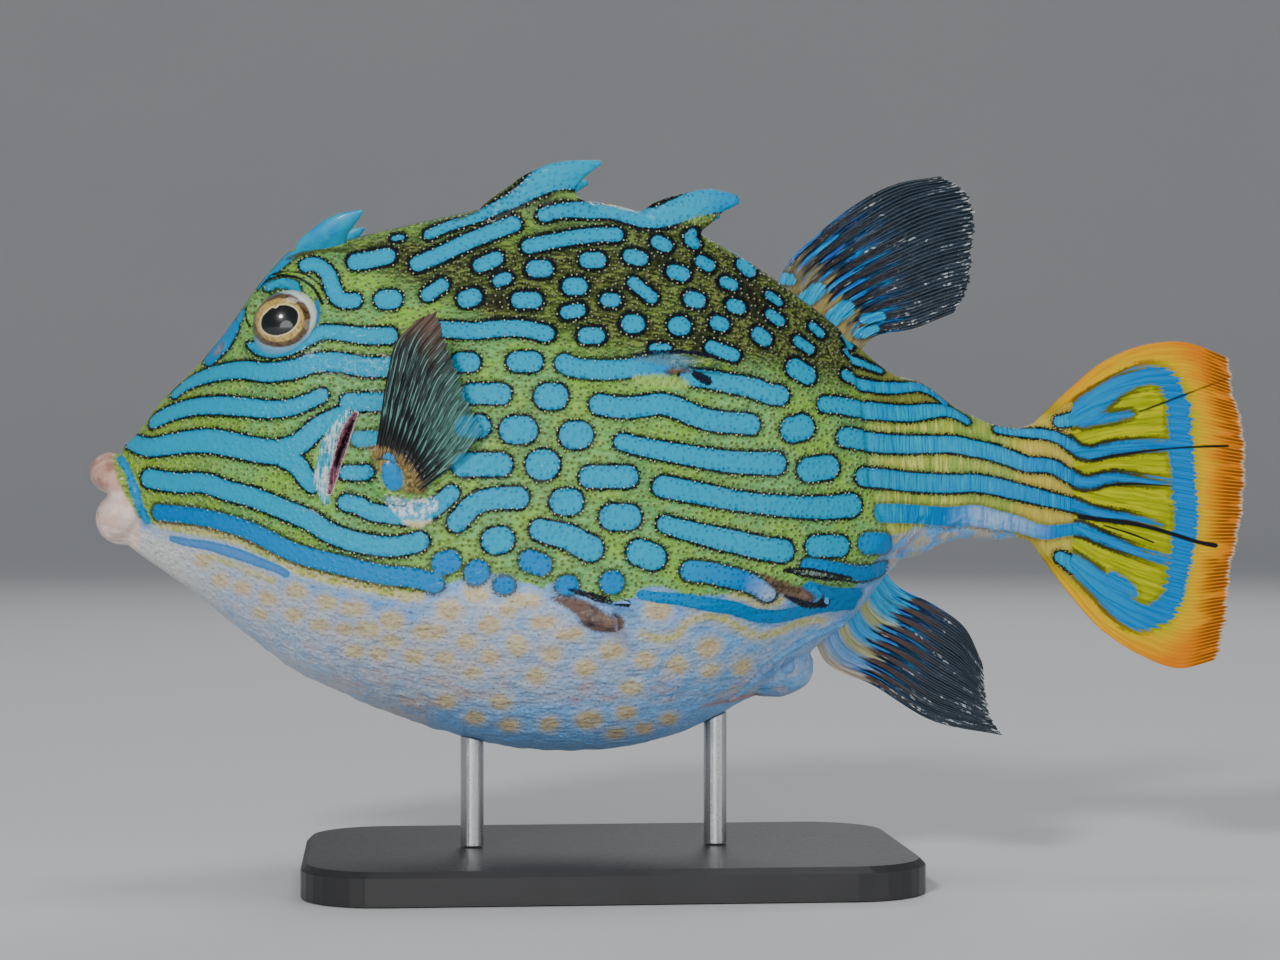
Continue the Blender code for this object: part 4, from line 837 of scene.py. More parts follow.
def field(points, marks):
    """Distance to the nearest mark's edge, with that mark's hue and outline."""
    distance = np.full(len(points), REACH)
    hue = np.zeros(len(points))
    outline = np.zeros(len(points))
    for mark in marks:
        margin = mark.radii.max() + REACH
        low, high = mark.points.min(0) - margin, mark.points.max(0) + margin
        near = np.flatnonzero(np.all((points > low) & (points < high), axis=1))
        if not len(near):
            continue
        ray = mark.points.mean(0) - CAMERA
        ray /= np.linalg.norm(ray)
        squash = np.eye(3) - (1 - math.sqrt(1 - VIEW_SHARE)) * np.outer(ray, ray)
        place, line = points[near] @ squash, mark.points @ squash
        best, best_hue = np.full(len(near), REACH), np.zeros(len(near))
        for k in range(len(line) - 1):
            run = line[k + 1] - line[k]
            t = np.clip((place - line[k]) @ run / max(run @ run, 1e-9), 0, 1)
            radius = mark.radii[k] + (mark.radii[k + 1] - mark.radii[k]) * t
            gap = np.linalg.norm(place - line[k] - t[:, None] * run, axis=1) - radius
            better = gap < best
            best[better] = gap[better]
            best_hue[better] = (mark.hues[k] + (mark.hues[k + 1] - mark.hues[k]) * t)[better]
        closer = best < distance[near]
        chosen = near[closer]
        distance[chosen] = best[closer]
        hue[chosen] = best_hue[closer]
        outline[chosen] = mark.outline
    return distance, hue, outline


def line_distance(points, line):
    """Distance of each point from a line through a few points in space."""
    best = np.full(len(points), FAR)
    for a, b in zip(line, line[1:]):
        run = b - a
        t = np.clip((points - a) @ run / (run @ run), 0, 1)
        best = np.minimum(best, np.linalg.norm(points - a - t[:, None] * run, axis=1))
    return best


def deck_field(points):
    """Spots of the back between the shoulder ridges, seen from above."""
    draw = random.Random(7)
    distance = np.full(len(points), REACH)
    for row, first, last, gap in DECK_ROWS:
        x = first
        while x < last:
            reach = draw.choice((0.3, 0.6, 1.0, 2.2))
            radius = draw.uniform(1.0, 1.35)
            centre = np.array((x + reach + radius, row + draw.uniform(-0.5, 0.5)))
            angle = draw.uniform(-0.4, 0.4)
            x = centre[0] + reach + radius + gap * draw.uniform(0.8, 1.3)
            run = np.array((math.cos(angle), math.sin(angle)))
            offset = points[:, :2] - centre
            t = np.clip(offset @ run, -reach, reach)
            distance = np.minimum(distance, np.linalg.norm(offset - t[:, None] * run, axis=1) - radius)
    return distance


# Skin relief, as lines of the left side seen by the camera: points and widths,
# and for creases points, depth, width.
GILL = {
    "slit": (
        ((-50.0, 10.4), (-51.5, 7.3), (-52.5, 4.1), (-53.3, 1.4), (-54.1, -2.0)),
        (0.4, 1.2, 1.4, 1.1, 1.0, 0.5),
    ),
    "gap": (((-50.6, 9.4), (-51.8, 6.6), (-52.8, 3.8), (-53.5, 1.0)), (0.3, 0.7, 0.6, 0.2)),
    "cover": (
        ((-51.0, 10.8), (-51.9, 9.6), (-53.7, 6.1), (-54.7, 2.6), (-55.3, -0.6), (-54.6, -3.2)),
        (0.8, 1.8, 2.7, 2.5, 2.2, 1.4),
    ),
}
SLIT_DEPTH = 1.5
COVER_RISE = 0.5
PIT_DEPTH = 1.1
PIT_RIM = 0.3
SHELL_RIM = 0.3
NOSTRIL = (-70.8, 20.1)
CREASES = (
    (((-82.6, 3.4), (-78.0, 2.6), (-72.0, 2.4), (-66.0, 1.0), (-60.0, -1.8), (-55.0, -4.6)), 0.16, 1.0),
    (((9, -34), (12, -31.2), (14, -29), (16, -27.5), (18.5, -25.8), (20.5, -24.9), (22, -24), (26, -22.5)),
      0.7, 0.5),
    (((12, -33.6), (15.4, -32.4), (18.6, -30.6), (20.8, -27.8)), 0.35, 0.45),
    (((38.6, -6.4), (36.6, -8.6), (34.2, -11.4), (33.0, -13.8)), 0.45, 0.5),
    (((43.4, -7.6), (41.0, -9.6), (38.6, -11.6)), 0.3, 0.4),
    (((44.4, -7.0), (43.4, -8.6), (42.8, -10.6)), 0.3, 0.5),
)
# Folds of skin over the eye: distance from its middle, height, width.
EYE_FOLDS = ((7.7, 0.3, 0.32), (7.2, -0.28, 0.24), (8.2, -0.22, 0.3))
SOCKET_REACH = 12
SOCKET_GAP = 0.9
RIM_LINE = ((26, 24), (28.5, 14), (29.2, 10), (30, 0), (31, -4), (33, -8), (34.5, -13.5))


def eye_frame(side):
    """Centre of an eyeball, and its outward, rearward and upward directions."""
    outward = flank_normal(EYE_X, EYE_HEIGHT)
    centre = Vector((EYE_X, flank(EYE_X, EYE_HEIGHT)[0], EYE_HEIGHT)) - outward * EYE_SUNK
    rearward = Vector((1, 0, 0))
    rearward = (rearward - outward * rearward.dot(outward)).normalized()
    upward = outward.cross(rearward) * -1
    if upward.z < 0:
        upward = -upward
    return [np.array(vector) * (1, side, 1) for vector in (centre, outward, rearward, upward)]


def eye_coordinates(points, side):
    """Out, rear and up of each point from an eyeball's centre."""
    centre, outward, rearward, upward = eye_frame(side)
    offset = points - centre
    return offset @ outward, offset @ rearward, offset @ upward


def skin_solids():
    solids = Solids()
    solids.loft(body_rings())
    for shape in (UPPER_LIP, LOWER_LIP):
        solids.loft(lip_rings(shape))
    for side in (-1, 1):
        for table in (FRONT_BACK_SPINE, REAR_BACK_SPINE):
            solids.loft(blade_rings(table, side))
        for shape in (SIDE_SPINE, LOW_SPINE_FRONT, LOW_BLADE_FRONT, LOW_SPINE_REAR, LOW_BLADE_REAR):
            solids.loft(thorn_rings(shape, side))
        solids.loft(ball_rings((KNOB["x"], side * KNOB["y"], KNOB["height"]), KNOB["half"], KNOB["lean"]))
        lobe_x, lobe_z = PECTORAL_LOBE["x"], PECTORAL_LOBE["height"]
        lobe = (lobe_x, side * (flank(lobe_x, lobe_z)[0] + 0.3), lobe_z)
        solids.loft(ball_rings(lobe, PECTORAL_LOBE["half"], PECTORAL_LOBE["lean"]))
    vent = (VENT_LOBE["x"], 0.0, VENT_LOBE["height"])
    solids.loft(ball_rings(vent, VENT_LOBE["half"]))
    return solids


def fused(solids, voxel):
    """One closed, even surface round all the solids."""
    rough = mesh_object("skin_rough", solids.points, solids.faces, bodies=False)
    remesh = rough.modifiers.new("Fuse", "REMESH")
    remesh.mode = "VOXEL"
    remesh.voxel_size = voxel * MM
    smooth = rough.modifiers.new("Even", "SMOOTH")
    smooth.factor = 0.5
    smooth.iterations = 6
    graph = bpy.context.evaluated_depsgraph_get()
    mesh = bpy.data.meshes.new_from_object(rough.evaluated_get(graph))
    bpy.data.objects.remove(rough, do_unlink=True)
    return mesh


def eye_relief(points, side):
    """Socket behind the eyeball and folds of skin round it."""
    out, rear, up = eye_coordinates(points, side)
    radial = np.hypot(rear, up)
    _, outward, _, _ = eye_frame(side)
    moved = points.copy()
    near = (radial < SOCKET_REACH) & (out > -EYE_RADIUS) & (points[:, 1] * side > 0)
    top = step_between(-0.3, 0.8, up / np.maximum(radial, 0.1))
    swell = 0.5 * bell(radial - 6.7, 0.8) * (0.6 + 0.4 * top) - 0.9 * (1 - step_between(5.0, 6.5, radial))
    swell += top * sum(height * bell(radial - place, width) for place, height, width in EYE_FOLDS)
    moved[near] += (swell[:, None] * outward)[near]
    core = EYE_RADIUS - SOCKET_GAP
    inside = near & (np.sqrt(out ** 2 + radial ** 2) < core) & (out > -1.0)
    depth = np.sqrt(np.maximum(0.0, core ** 2 - radial[inside] ** 2))
    moved[inside] += (-depth - out[inside])[:, None] * outward
    return moved


def as_left(points):
    """The points mirrored to the left side."""
    left = points.copy()
    left[:, 1] = -np.abs(left[:, 1])
    return left


def nostril_distance(left):
    return np.linalg.norm(left - cast([NOSTRIL])[0], axis=1)


def side_relief(points, side):
    """Height of the folds, slits and pits of one side, along the normal."""
    height = np.zeros(len(points))
    own = np.flatnonzero(points[:, 1] * side > 0)
    left = as_left(points[own])
    slit, cover = (nearest_paint(left, (GILL[name],)) for name in ("slit", "cover"))
    pit = nostril_distance(left)
    local = COVER_RISE * step_between(0.9, -0.7, cover) - SLIT_DEPTH * step_between(0.25, -0.5, slit)
    local += PIT_RIM * bell(pit - 1.3, 0.45) - PIT_DEPTH * bell(pit, 0.65)
    for line, depth, width in CREASES:
        crease = line_distance(left, cast(line))
        local += 0.35 * depth * bell(crease - 1.8 * width, width) - depth * bell(crease, width)
    rim = cast(RIM_LINE)
    behind = left[:, 0] - np.interp(left[:, 2], rim[::-1, 2], rim[::-1, 0])
    local += SHELL_RIM * (1 - step_between(-0.4, 0.7, behind)) * step_between(-7.0, -1.0, behind)
    local -= SHELL_RIM * bell(behind - 0.9, 0.8)
    height[own] = local
    return height


def skin_texture(points):
    """Soft unevenness of the whole skin, stronger on the belly and tail root."""
    x, _, z = points.T
    belly = step_between(-14.0, -22.0, z) * step_between(-84.0, -78.0, x)
    tail = step_between(30.0, 36.0, x)
    lips = 1 - step_between(-84.2, -82.8, x)
    height = 0.10 * clouds(points, 5.5, 1) * (1 - lips)
    height += (0.05 + 0.12 * belly) * clouds(points, 2.1, 2) * (1 - lips)
    folds = clouds(points * (1.0, 0.25, 0.25), 1.3, 3)
    height += tail * 0.10 * folds
    height += lips * 0.05 * clouds(points * (0.4, 1.0, 0.3), 0.9, 4)
    return height


def nearest_paint(points, paints):
    """Distance from the edges of a few painted strokes."""
    best = np.full(len(points), REACH)
    for stroke, widths in paints:
        line, run = spline(stroke, MARK_STEP)
        radii = along(widths, run / run[-1]) / 2
        best = np.minimum(best, field(points, [Mark(cast(line), radii, radii, 0.0)])[0])
    return best


def back_darkness(points):
    """1 on the dark back, 0 on the light flank and head, more on its patches."""
    x, _, z = points.T
    edge = cast(DARK_EDGE)
    share = step_between(-2.5, 4.0, z - np.interp(x, edge[:, 0], edge[:, 2]))
    share *= 1 - 0.45 * step_between(33.5, 38.0, z) * step_between(-6.0, -14.0, x)
    for place in cast(DARK_PATCHES):
        share = share + 0.55 * bell(np.hypot(x - place[0], z - place[2]), DARK_PATCH_SIZE)
    return share


def side_values(left, side):
    """Markings and folds of one side, at points mirrored to the left."""
    mark, hue, outline = field(left, side_marks(side))
    gold, tan, _ = field(left, belly_marks(side))
    fold = np.full(len(left), REACH)
    for line, radius in EYE_LINES:
        fold = np.minimum(fold, line_distance(left, cast(spline(line, MARK_STEP)[0])) - radius)
    found = {"mark": mark, "hue": hue, "outline": outline, "gold": gold, "tan": tan, "fold": fold}
    found["pit"] = nostril_distance(left)
    for name, stroke in GILL.items():
        found[name] = nearest_paint(left, (stroke,))
    for name, paints in PAINTS.items():
        found[name] = nearest_paint(left, paints)
    return found


def skin_attributes(mesh, points, normals):
    """Markings, colour zones and folds as values at the skin's points."""
    values = {}
    for side in (-1, 1):
        own = np.flatnonzero(points[:, 1] * side > (0 if side > 0 else -1e-9))
        for name, value in side_values(as_left(points[own]), side).items():
            values.setdefault(name, np.full(len(points), REACH))[own] = value
    x, y, z = points.T
    upward = normals[:, 2]
    shoulder = np.interp(x, STATIONS[:, 0], STATIONS[:, 4])
    on_deck = (upward > DECK_UP) & (x > DECK_X[0]) & (x < DECK_X[1]) & (z > DECK_FLOOR)
    on_deck &= np.abs(y) < shoulder - DECK_MARGIN
    forehead = (upward > FOREHEAD_UP) & (x > FOREHEAD_X[0]) & (x <= FOREHEAD_X[1])
    forehead &= np.abs(y) < FOREHEAD_HALF
    deck = deck_field(points)
    chosen = on_deck | (forehead & (deck < values["mark"]))
    values["mark"][chosen] = deck[chosen]
    values["hue"][chosen] = 0.1
    values["outline"][chosen] = 1.0
    edge = cast(BELLY_EDGE)
    lip_x = np.interp(z, *np.array(LIP_EDGE).T)
    margin = signed_distance(np.column_stack((x, z)), spline(TAIL_INNER, 1.0)[0])
    values |= {
        "belly": np.interp(x, edge[:, 0], edge[:, 2]) - z,
        "dark": np.where(on_deck, 0.6 * step_between(-60.0, -44.0, x), back_darkness(points)),
        "margin": np.where(x > TAIL_ROOT_X, margin, -REACH),
        "aft": step_between(-34.0, 12.0, x),
        "low": step_between(-24.0, -33.0, z),
        "high": step_between(14.0, 30.0, z),
        "rear": step_between(26.0, 33.0, x + 0.13 * z),
        "front": 1 - step_between(-84.0, -60.0, x),
        "lip": 1 - step_between(-0.35, 0.35, x - lip_x),
        "upper_lip": step_between(-2.6, -1.0, z),
        "keel": step_between(-30.5, -36.0, z) * step_between(-44.0, -34.0, x),
    }
    for name, value in values.items():
        set_attribute(mesh, name, value)


def make_skin():
    """One skin over head, lips, trunk and tail root."""
    mesh = fused(skin_solids(), VOXEL)
    points, normals = mesh_points(mesh), mesh_normals(mesh)
    skin_attributes(mesh, points, normals)
    height = skin_texture(points)
    for side in (-1, 1):
        height += side_relief(points, side)
    points = points + height[:, None] * normals
    for side in (-1, 1):
        points = eye_relief(points, side)
    set_mesh_points(mesh, points)
    mesh.shade_smooth()
    skin = bpy.data.objects.new("skin", mesh)
    bpy.context.scene.collection.objects.link(skin)
    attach(skin, "root")
    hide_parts("head", "carapace", "caudal_peduncle", "lip_upper", "lip_lower")
    mesh.materials.clear()
    mesh.materials.append(skin_material())


# Fins


def even_line(points, count):
    """Evenly spaced points on a smooth line through a few."""
    fine, _ = spline(points, 0.2)
    run = np.concatenate(([0.0], np.cumsum(np.linalg.norm(np.diff(fine, axis=0), axis=1))))
    even = np.linspace(0.0, run[-1], count)
    return np.column_stack([np.interp(even, run, fine[:, k]) for k in (0, 1)])


def fin_patch(shape):
    """Grid of a fin: share across the rays, share along them, and the places in its plane."""
    scale = 1.0
    columns, rows = int(shape["columns"] * scale), int(shape["rows"] * scale)
    t, s = np.meshgrid(np.linspace(0, 1, columns), np.linspace(0, 1, rows))
    base, outer = even_line(shape["base"], columns), even_line(shape["outer"], columns)
    first, last = even_line(shape["first"], rows), even_line(shape["last"], rows)
    t3, s3 = t[..., None], s[..., None]
    edges = (1 - s3) * base + s3 * outer + (1 - t3) * first[:, None] + t3 * last[:, None]
    corners = (1 - t3) * (1 - s3) * base[0] + t3 * (1 - s3) * base[-1]
    corners += (1 - t3) * s3 * outer[0] + t3 * s3 * outer[-1]
    return t, s, edges - corners


def ray_distance(t, s, places, shape):
    """Distance from the nearest ray, and from the nearest stem before it forks."""
    across = np.linalg.norm(np.gradient(places, axis=1), axis=2) * (t.shape[1] - 1)
    pitch = across / shape["rays"]
    gap = np.abs((t * shape["rays"]) % 1.0 - 0.5)
    stem = gap * pitch
    for level in range(shape["splits"]):
        spread = 0.25 / 2 ** level * step_between(0.12 + 0.2 * level, 0.5 + 0.2 * level, s)
        gap = np.abs(gap - spread)
    return gap * pitch, stem


def fin_thickness(t, s, places, gap, shape):
    """Half thickness: a fleshy root, a thin web, a ridge on each ray and along both edges."""
    flesh = shape["root"] * np.sqrt(np.maximum(0.0, 4 * t * (1 - t)))
    swell = np.maximum(0.0, 1 - s / shape["fleshy"]) ** 1.5 * step_between(-0.03, 0.10, s)
    half = FIN_EDGE + np.maximum(0.0, flesh - FIN_EDGE) * swell
    half += RAY_RISE * (1.25 - 0.6 * s) * bell(gap, RAY_WIDTH * (1.15 - 0.6 * s))
    edge = np.minimum(t, 1 - t) * np.linalg.norm(places[:, -1] - places[:, 0], axis=1)[:, None]
    return half + EDGE_RISE * bell(edge, 0.5) * (1 - 0.5 * s)


def slab_faces(rows, columns):
    """Faces of a closed slab between two sheets of rows by columns of points."""
    count = rows * columns
    grid = np.arange(count).reshape(rows, columns)
    quads = np.dstack((grid[:-1, :-1], grid[:-1, 1:], grid[1:, 1:], grid[1:, :-1])).reshape(-1, 4)
    border = np.concatenate((grid[0], grid[1:, -1], grid[-1, -2::-1], grid[-2:0:-1, 0]))
    rolled = np.roll(border, -1)
    rim = np.column_stack((rolled, border, border + count, rolled + count))
    return np.vstack((quads, quads[:, ::-1] + count, rim)).tolist()


def make_fin(name, node, shape, depth, material, bands=(), phase=0.0):
    """Fan of forking rays with a thin pleated web and a toothed margin."""
    t, s, places = fin_patch(shape)
    gap, stem = ray_distance(t, s, places, shape)
    outward = np.gradient(places, axis=0)
    outward /= np.maximum(np.linalg.norm(outward, axis=2, keepdims=True), 1e-6)
    tooth = TOOTH * (bell(gap, RAY_WIDTH) - 0.5) * step_between(0.93, 1.0, s)
    ragged = 0.25 * np.sin(t * 41.0 + phase) * np.sin(t * 97.0 + 2.0 * phase) * step_between(0.8, 1.0, s)
    places = places + outward * (tooth + ragged)[..., None]
    half = fin_thickness(t, s, places, gap, shape)
    middle = depth(places[..., 0], places[..., 1])
    middle = middle + shape["pleat"] * np.cos(2 * math.pi * shape["rays"] * t) * step_between(0.0, 0.35, s)
    middle += 0.25 * np.sin(5.1 * t + phase) * s ** 2
    faces_y = (middle - half, middle + half)
    sheets = [np.dstack((places[..., 0], y, places[..., 1])).reshape(-1, 3) for y in faces_y]
    item = mesh_object(name, np.vstack(sheets), slab_faces(*t.shape))
    mesh = item.data
    flat = upright(places.reshape(-1, 2))
    for key, values in (("ray", gap), ("stem", stem), ("along", s), ("across", t)):
        set_attribute(mesh, key, np.tile(values.ravel(), 2))
    mark, hue, outline = field(flat, [band_mark(band) for band in bands])
    for key, values in (("mark", mark), ("hue", hue), ("outline", outline)):
        set_attribute(mesh, key, np.tile(values, 2))
    mesh.materials.append(material)
    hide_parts(node)
    return item, flat


def band_mark(band):
    """A band of a fin that stands in the middle plane."""
    return line_mark(band[0], band, upright)


def signed_distance(points, loop):
    """Distance from a closed line in the plane, negative inside it."""
    loop = np.array(loop, float)
    best = np.full(len(points), FAR)
    inside = np.zeros(len(points), bool)
    for a, b in zip(loop, np.roll(loop, -1, axis=0)):
        run = b - a
        share = np.clip((points - a) @ run / (run @ run), 0, 1)
        best = np.minimum(best, np.linalg.norm(points - a - share[:, None] * run, axis=1))
        if a[1] != b[1]:
            crosses = (a[1] > points[:, 1]) != (b[1] > points[:, 1])
            inside ^= crosses & (points[:, 0] < a[0] + (points[:, 1] - a[1]) * run[0] / run[1])
    return np.where(inside, -best, best)


def middle_plane(x, z):
    return np.zeros_like(x)


def make_fins():
    dark = median_fin_material("dorsal_web", (0.020, 0.016, 0.016), (0.004, 0.10, 0.50), DORSAL_ROOT, 0.20)
    warm = median_fin_material("anal_web", (0.085, 0.045, 0.038), (0.035, 0.14, 0.56), ANAL_ROOT, 0.30)
    make_fin("dorsal", "dorsal_fin", DORSAL_FIN, middle_plane, dark, DORSAL_BANDS, 0.4)
    make_fin("anal", "anal_fin", ANAL_FIN, middle_plane, warm, (), 1.7)
    web = tail_fin_material()
    tail, flat = make_fin("tail", "tail_fin", TAIL_FIN, middle_plane, web, TAIL_BANDS, 2.6)
    inner = signed_distance(flat[:, (0, 2)], spline(TAIL_INNER, 1.0)[0])
    thick = np.full(len(flat), REACH)
    for points, radius in TAIL_RAYS:
        thick = np.minimum(thick, line_distance(flat, upright(spline(points, MARK_STEP)[0])) - radius)
    set_attribute(tail.data, "inner", np.tile(inner, 2))
    set_attribute(tail.data, "thick", np.tile(thick, 2))
    paired = paired_fin_material()
    lobe_x, lobe_z = PECTORAL_LOBE["x"], PECTORAL_LOBE["height"]
    root_y = flank(lobe_x, lobe_z)[0]
    for label, side in SIDES:

        def depth(x, z, side=side):
            return side * (root_y + PECTORAL_STAND_OFF + PECTORAL_LEAN * (z - lobe_z))

        node = "pectoral_fin_" + label
        fin, _ = make_fin("pectoral_" + label, node, PECTORAL_FIN, depth, paired, (), side)
        seen = stencil(as_left(mesh_points(fin.data)))
        set_attribute(fin.data, "behind", field(cast(seen), side_marks(side))[0])
        set_attribute(fin.data, "lobe", signed_distance(seen, LOBE_OUTLINE))
        set_attribute(fin.data, "patch", field(cast(seen), [stripe_mark(ROOT_PATCH, -1)])[0])


# Eyes and horns


def stencil(points):
    """Where the camera sees each point of the left side, in the middle plane."""
    share = -CAMERA[1] / (points[:, 1] - CAMERA[1])
    return np.column_stack((CAMERA[0] + (points[:, 0] - CAMERA[0]) * share, points[:, 2] * share))


def make_eye(label, side):
    """Glossy ball with a low clear dome, its iris in rings round a dark pupil."""
    centre, outward, rearward, upward = eye_frame(side)
    sides = 160
    rings, turns = sides // 2, sides
    points, faces = [], []
    for k in range(1, rings):
        fall = math.pi * k / rings
        reach = EYE_RADIUS + CORNEA_RISE * max(0.0, math.cos(fall) - 0.7) / 0.3
        for m in range(turns):
            roll = 2 * math.pi * m / turns
            direction = outward * math.cos(fall)
            direction = direction + math.sin(fall) * (rearward * math.cos(roll) + upward * math.sin(roll))
            points.append(centre + reach * direction)
    for k in range(rings - 2):
        for m in range(turns):
            n = (m + 1) % turns
            quad = (k * turns + m, (k + 1) * turns + m, (k + 1) * turns + n, k * turns + n)
            faces.append(quad if side < 0 else quad[::-1])
    first, last = len(points), len(points) + 1
    points += [centre + (EYE_RADIUS + CORNEA_RISE) * outward, centre - EYE_RADIUS * outward]
    for m in range(turns):
        n = (m + 1) % turns
        cap, heel = (first, m, n), (last, (rings - 2) * turns + n, (rings - 2) * turns + m)
        faces += [cap, heel] if side < 0 else [cap[::-1], heel[::-1]]
    item = mesh_object("eyeball_" + label, points, faces)
    seen = mesh_points(item.data)
    seen[:, 1] *= -side
    place = stencil(seen) - IRIS
    for name, (half_x, half_z, tilt) in (("pupil", PUPIL_OVAL), ("iris", IRIS_OVAL), ("brown", BROWN_OVAL)):
        turn = math.radians(tilt)
        u = place[:, 0] * math.cos(turn) + place[:, 1] * math.sin(turn)
        v = place[:, 1] * math.cos(turn) - place[:, 0] * math.sin(turn)
        distance = (np.hypot(u / half_x, v / half_z) - 1) * math.sqrt(half_x * half_z)
        if name == "pupil":
            distance = np.maximum(distance, 0.55 - np.hypot(u - 0.35, v - half_z - 0.25))
        set_attribute(item.data, name, distance)
    # Height across the eye, which sets where the painted highlight on its ring lies.
    set_attribute(item.data, "eye_up", place[:, 1] + 0.4 * place[:, 0])
    item.data.materials.append(eye_material())
    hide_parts("eye_" + label)


def make_horn(label, side):
    """Bony horn over the eye, blue with a black point."""
    solids = Solids()
    solids.loft(blade_rings(HORN, side, levels=48, sides=40))
    item = mesh_object("horn_piece_" + label, solids.points, solids.faces)
    item.data.materials.append(horn_material())
    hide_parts("horn_" + label)


# Materials


# Places of a mix node's colour sockets.
COLOUR_A, COLOUR_B, COLOUR_OUT = 6, 7, 2
# Granules of the shell: spacing, unevenness, and where the painted highlight on a granule's tip lies.
GRANULE = 1.02
GRANULE_SPREAD = 0.75
GLINT_SHIFT = -0.24
# Colour ramps: place, colour.
SKIN_BLUES = (
    (0.0, (0.0, 0.35, 0.56)), (0.25, (0.0, 0.23, 0.56)), (0.5, (0.0, 0.18, 0.52)), (0.75, (0.14, 0.34, 0.72)),
    (1.0, (0.48, 0.58, 0.76)),
)
TAIL_BLUES = ((0.0, (0.0, 0.35, 0.58)), (0.3, (0.0, 0.22, 0.57)), (0.7, (0.0, 0.14, 0.52)))
BELLY_MIDDLE = ((0.34, (0.30, 0.50, 0.78)), (0.50, (0.46, 0.57, 0.74)), (0.66, (0.60, 0.58, 0.62)))
BELLY_AFT = ((0.34, (0.07, 0.38, 0.84)), (0.50, (0.17, 0.45, 0.82)), (0.68, (0.38, 0.50, 0.74)))


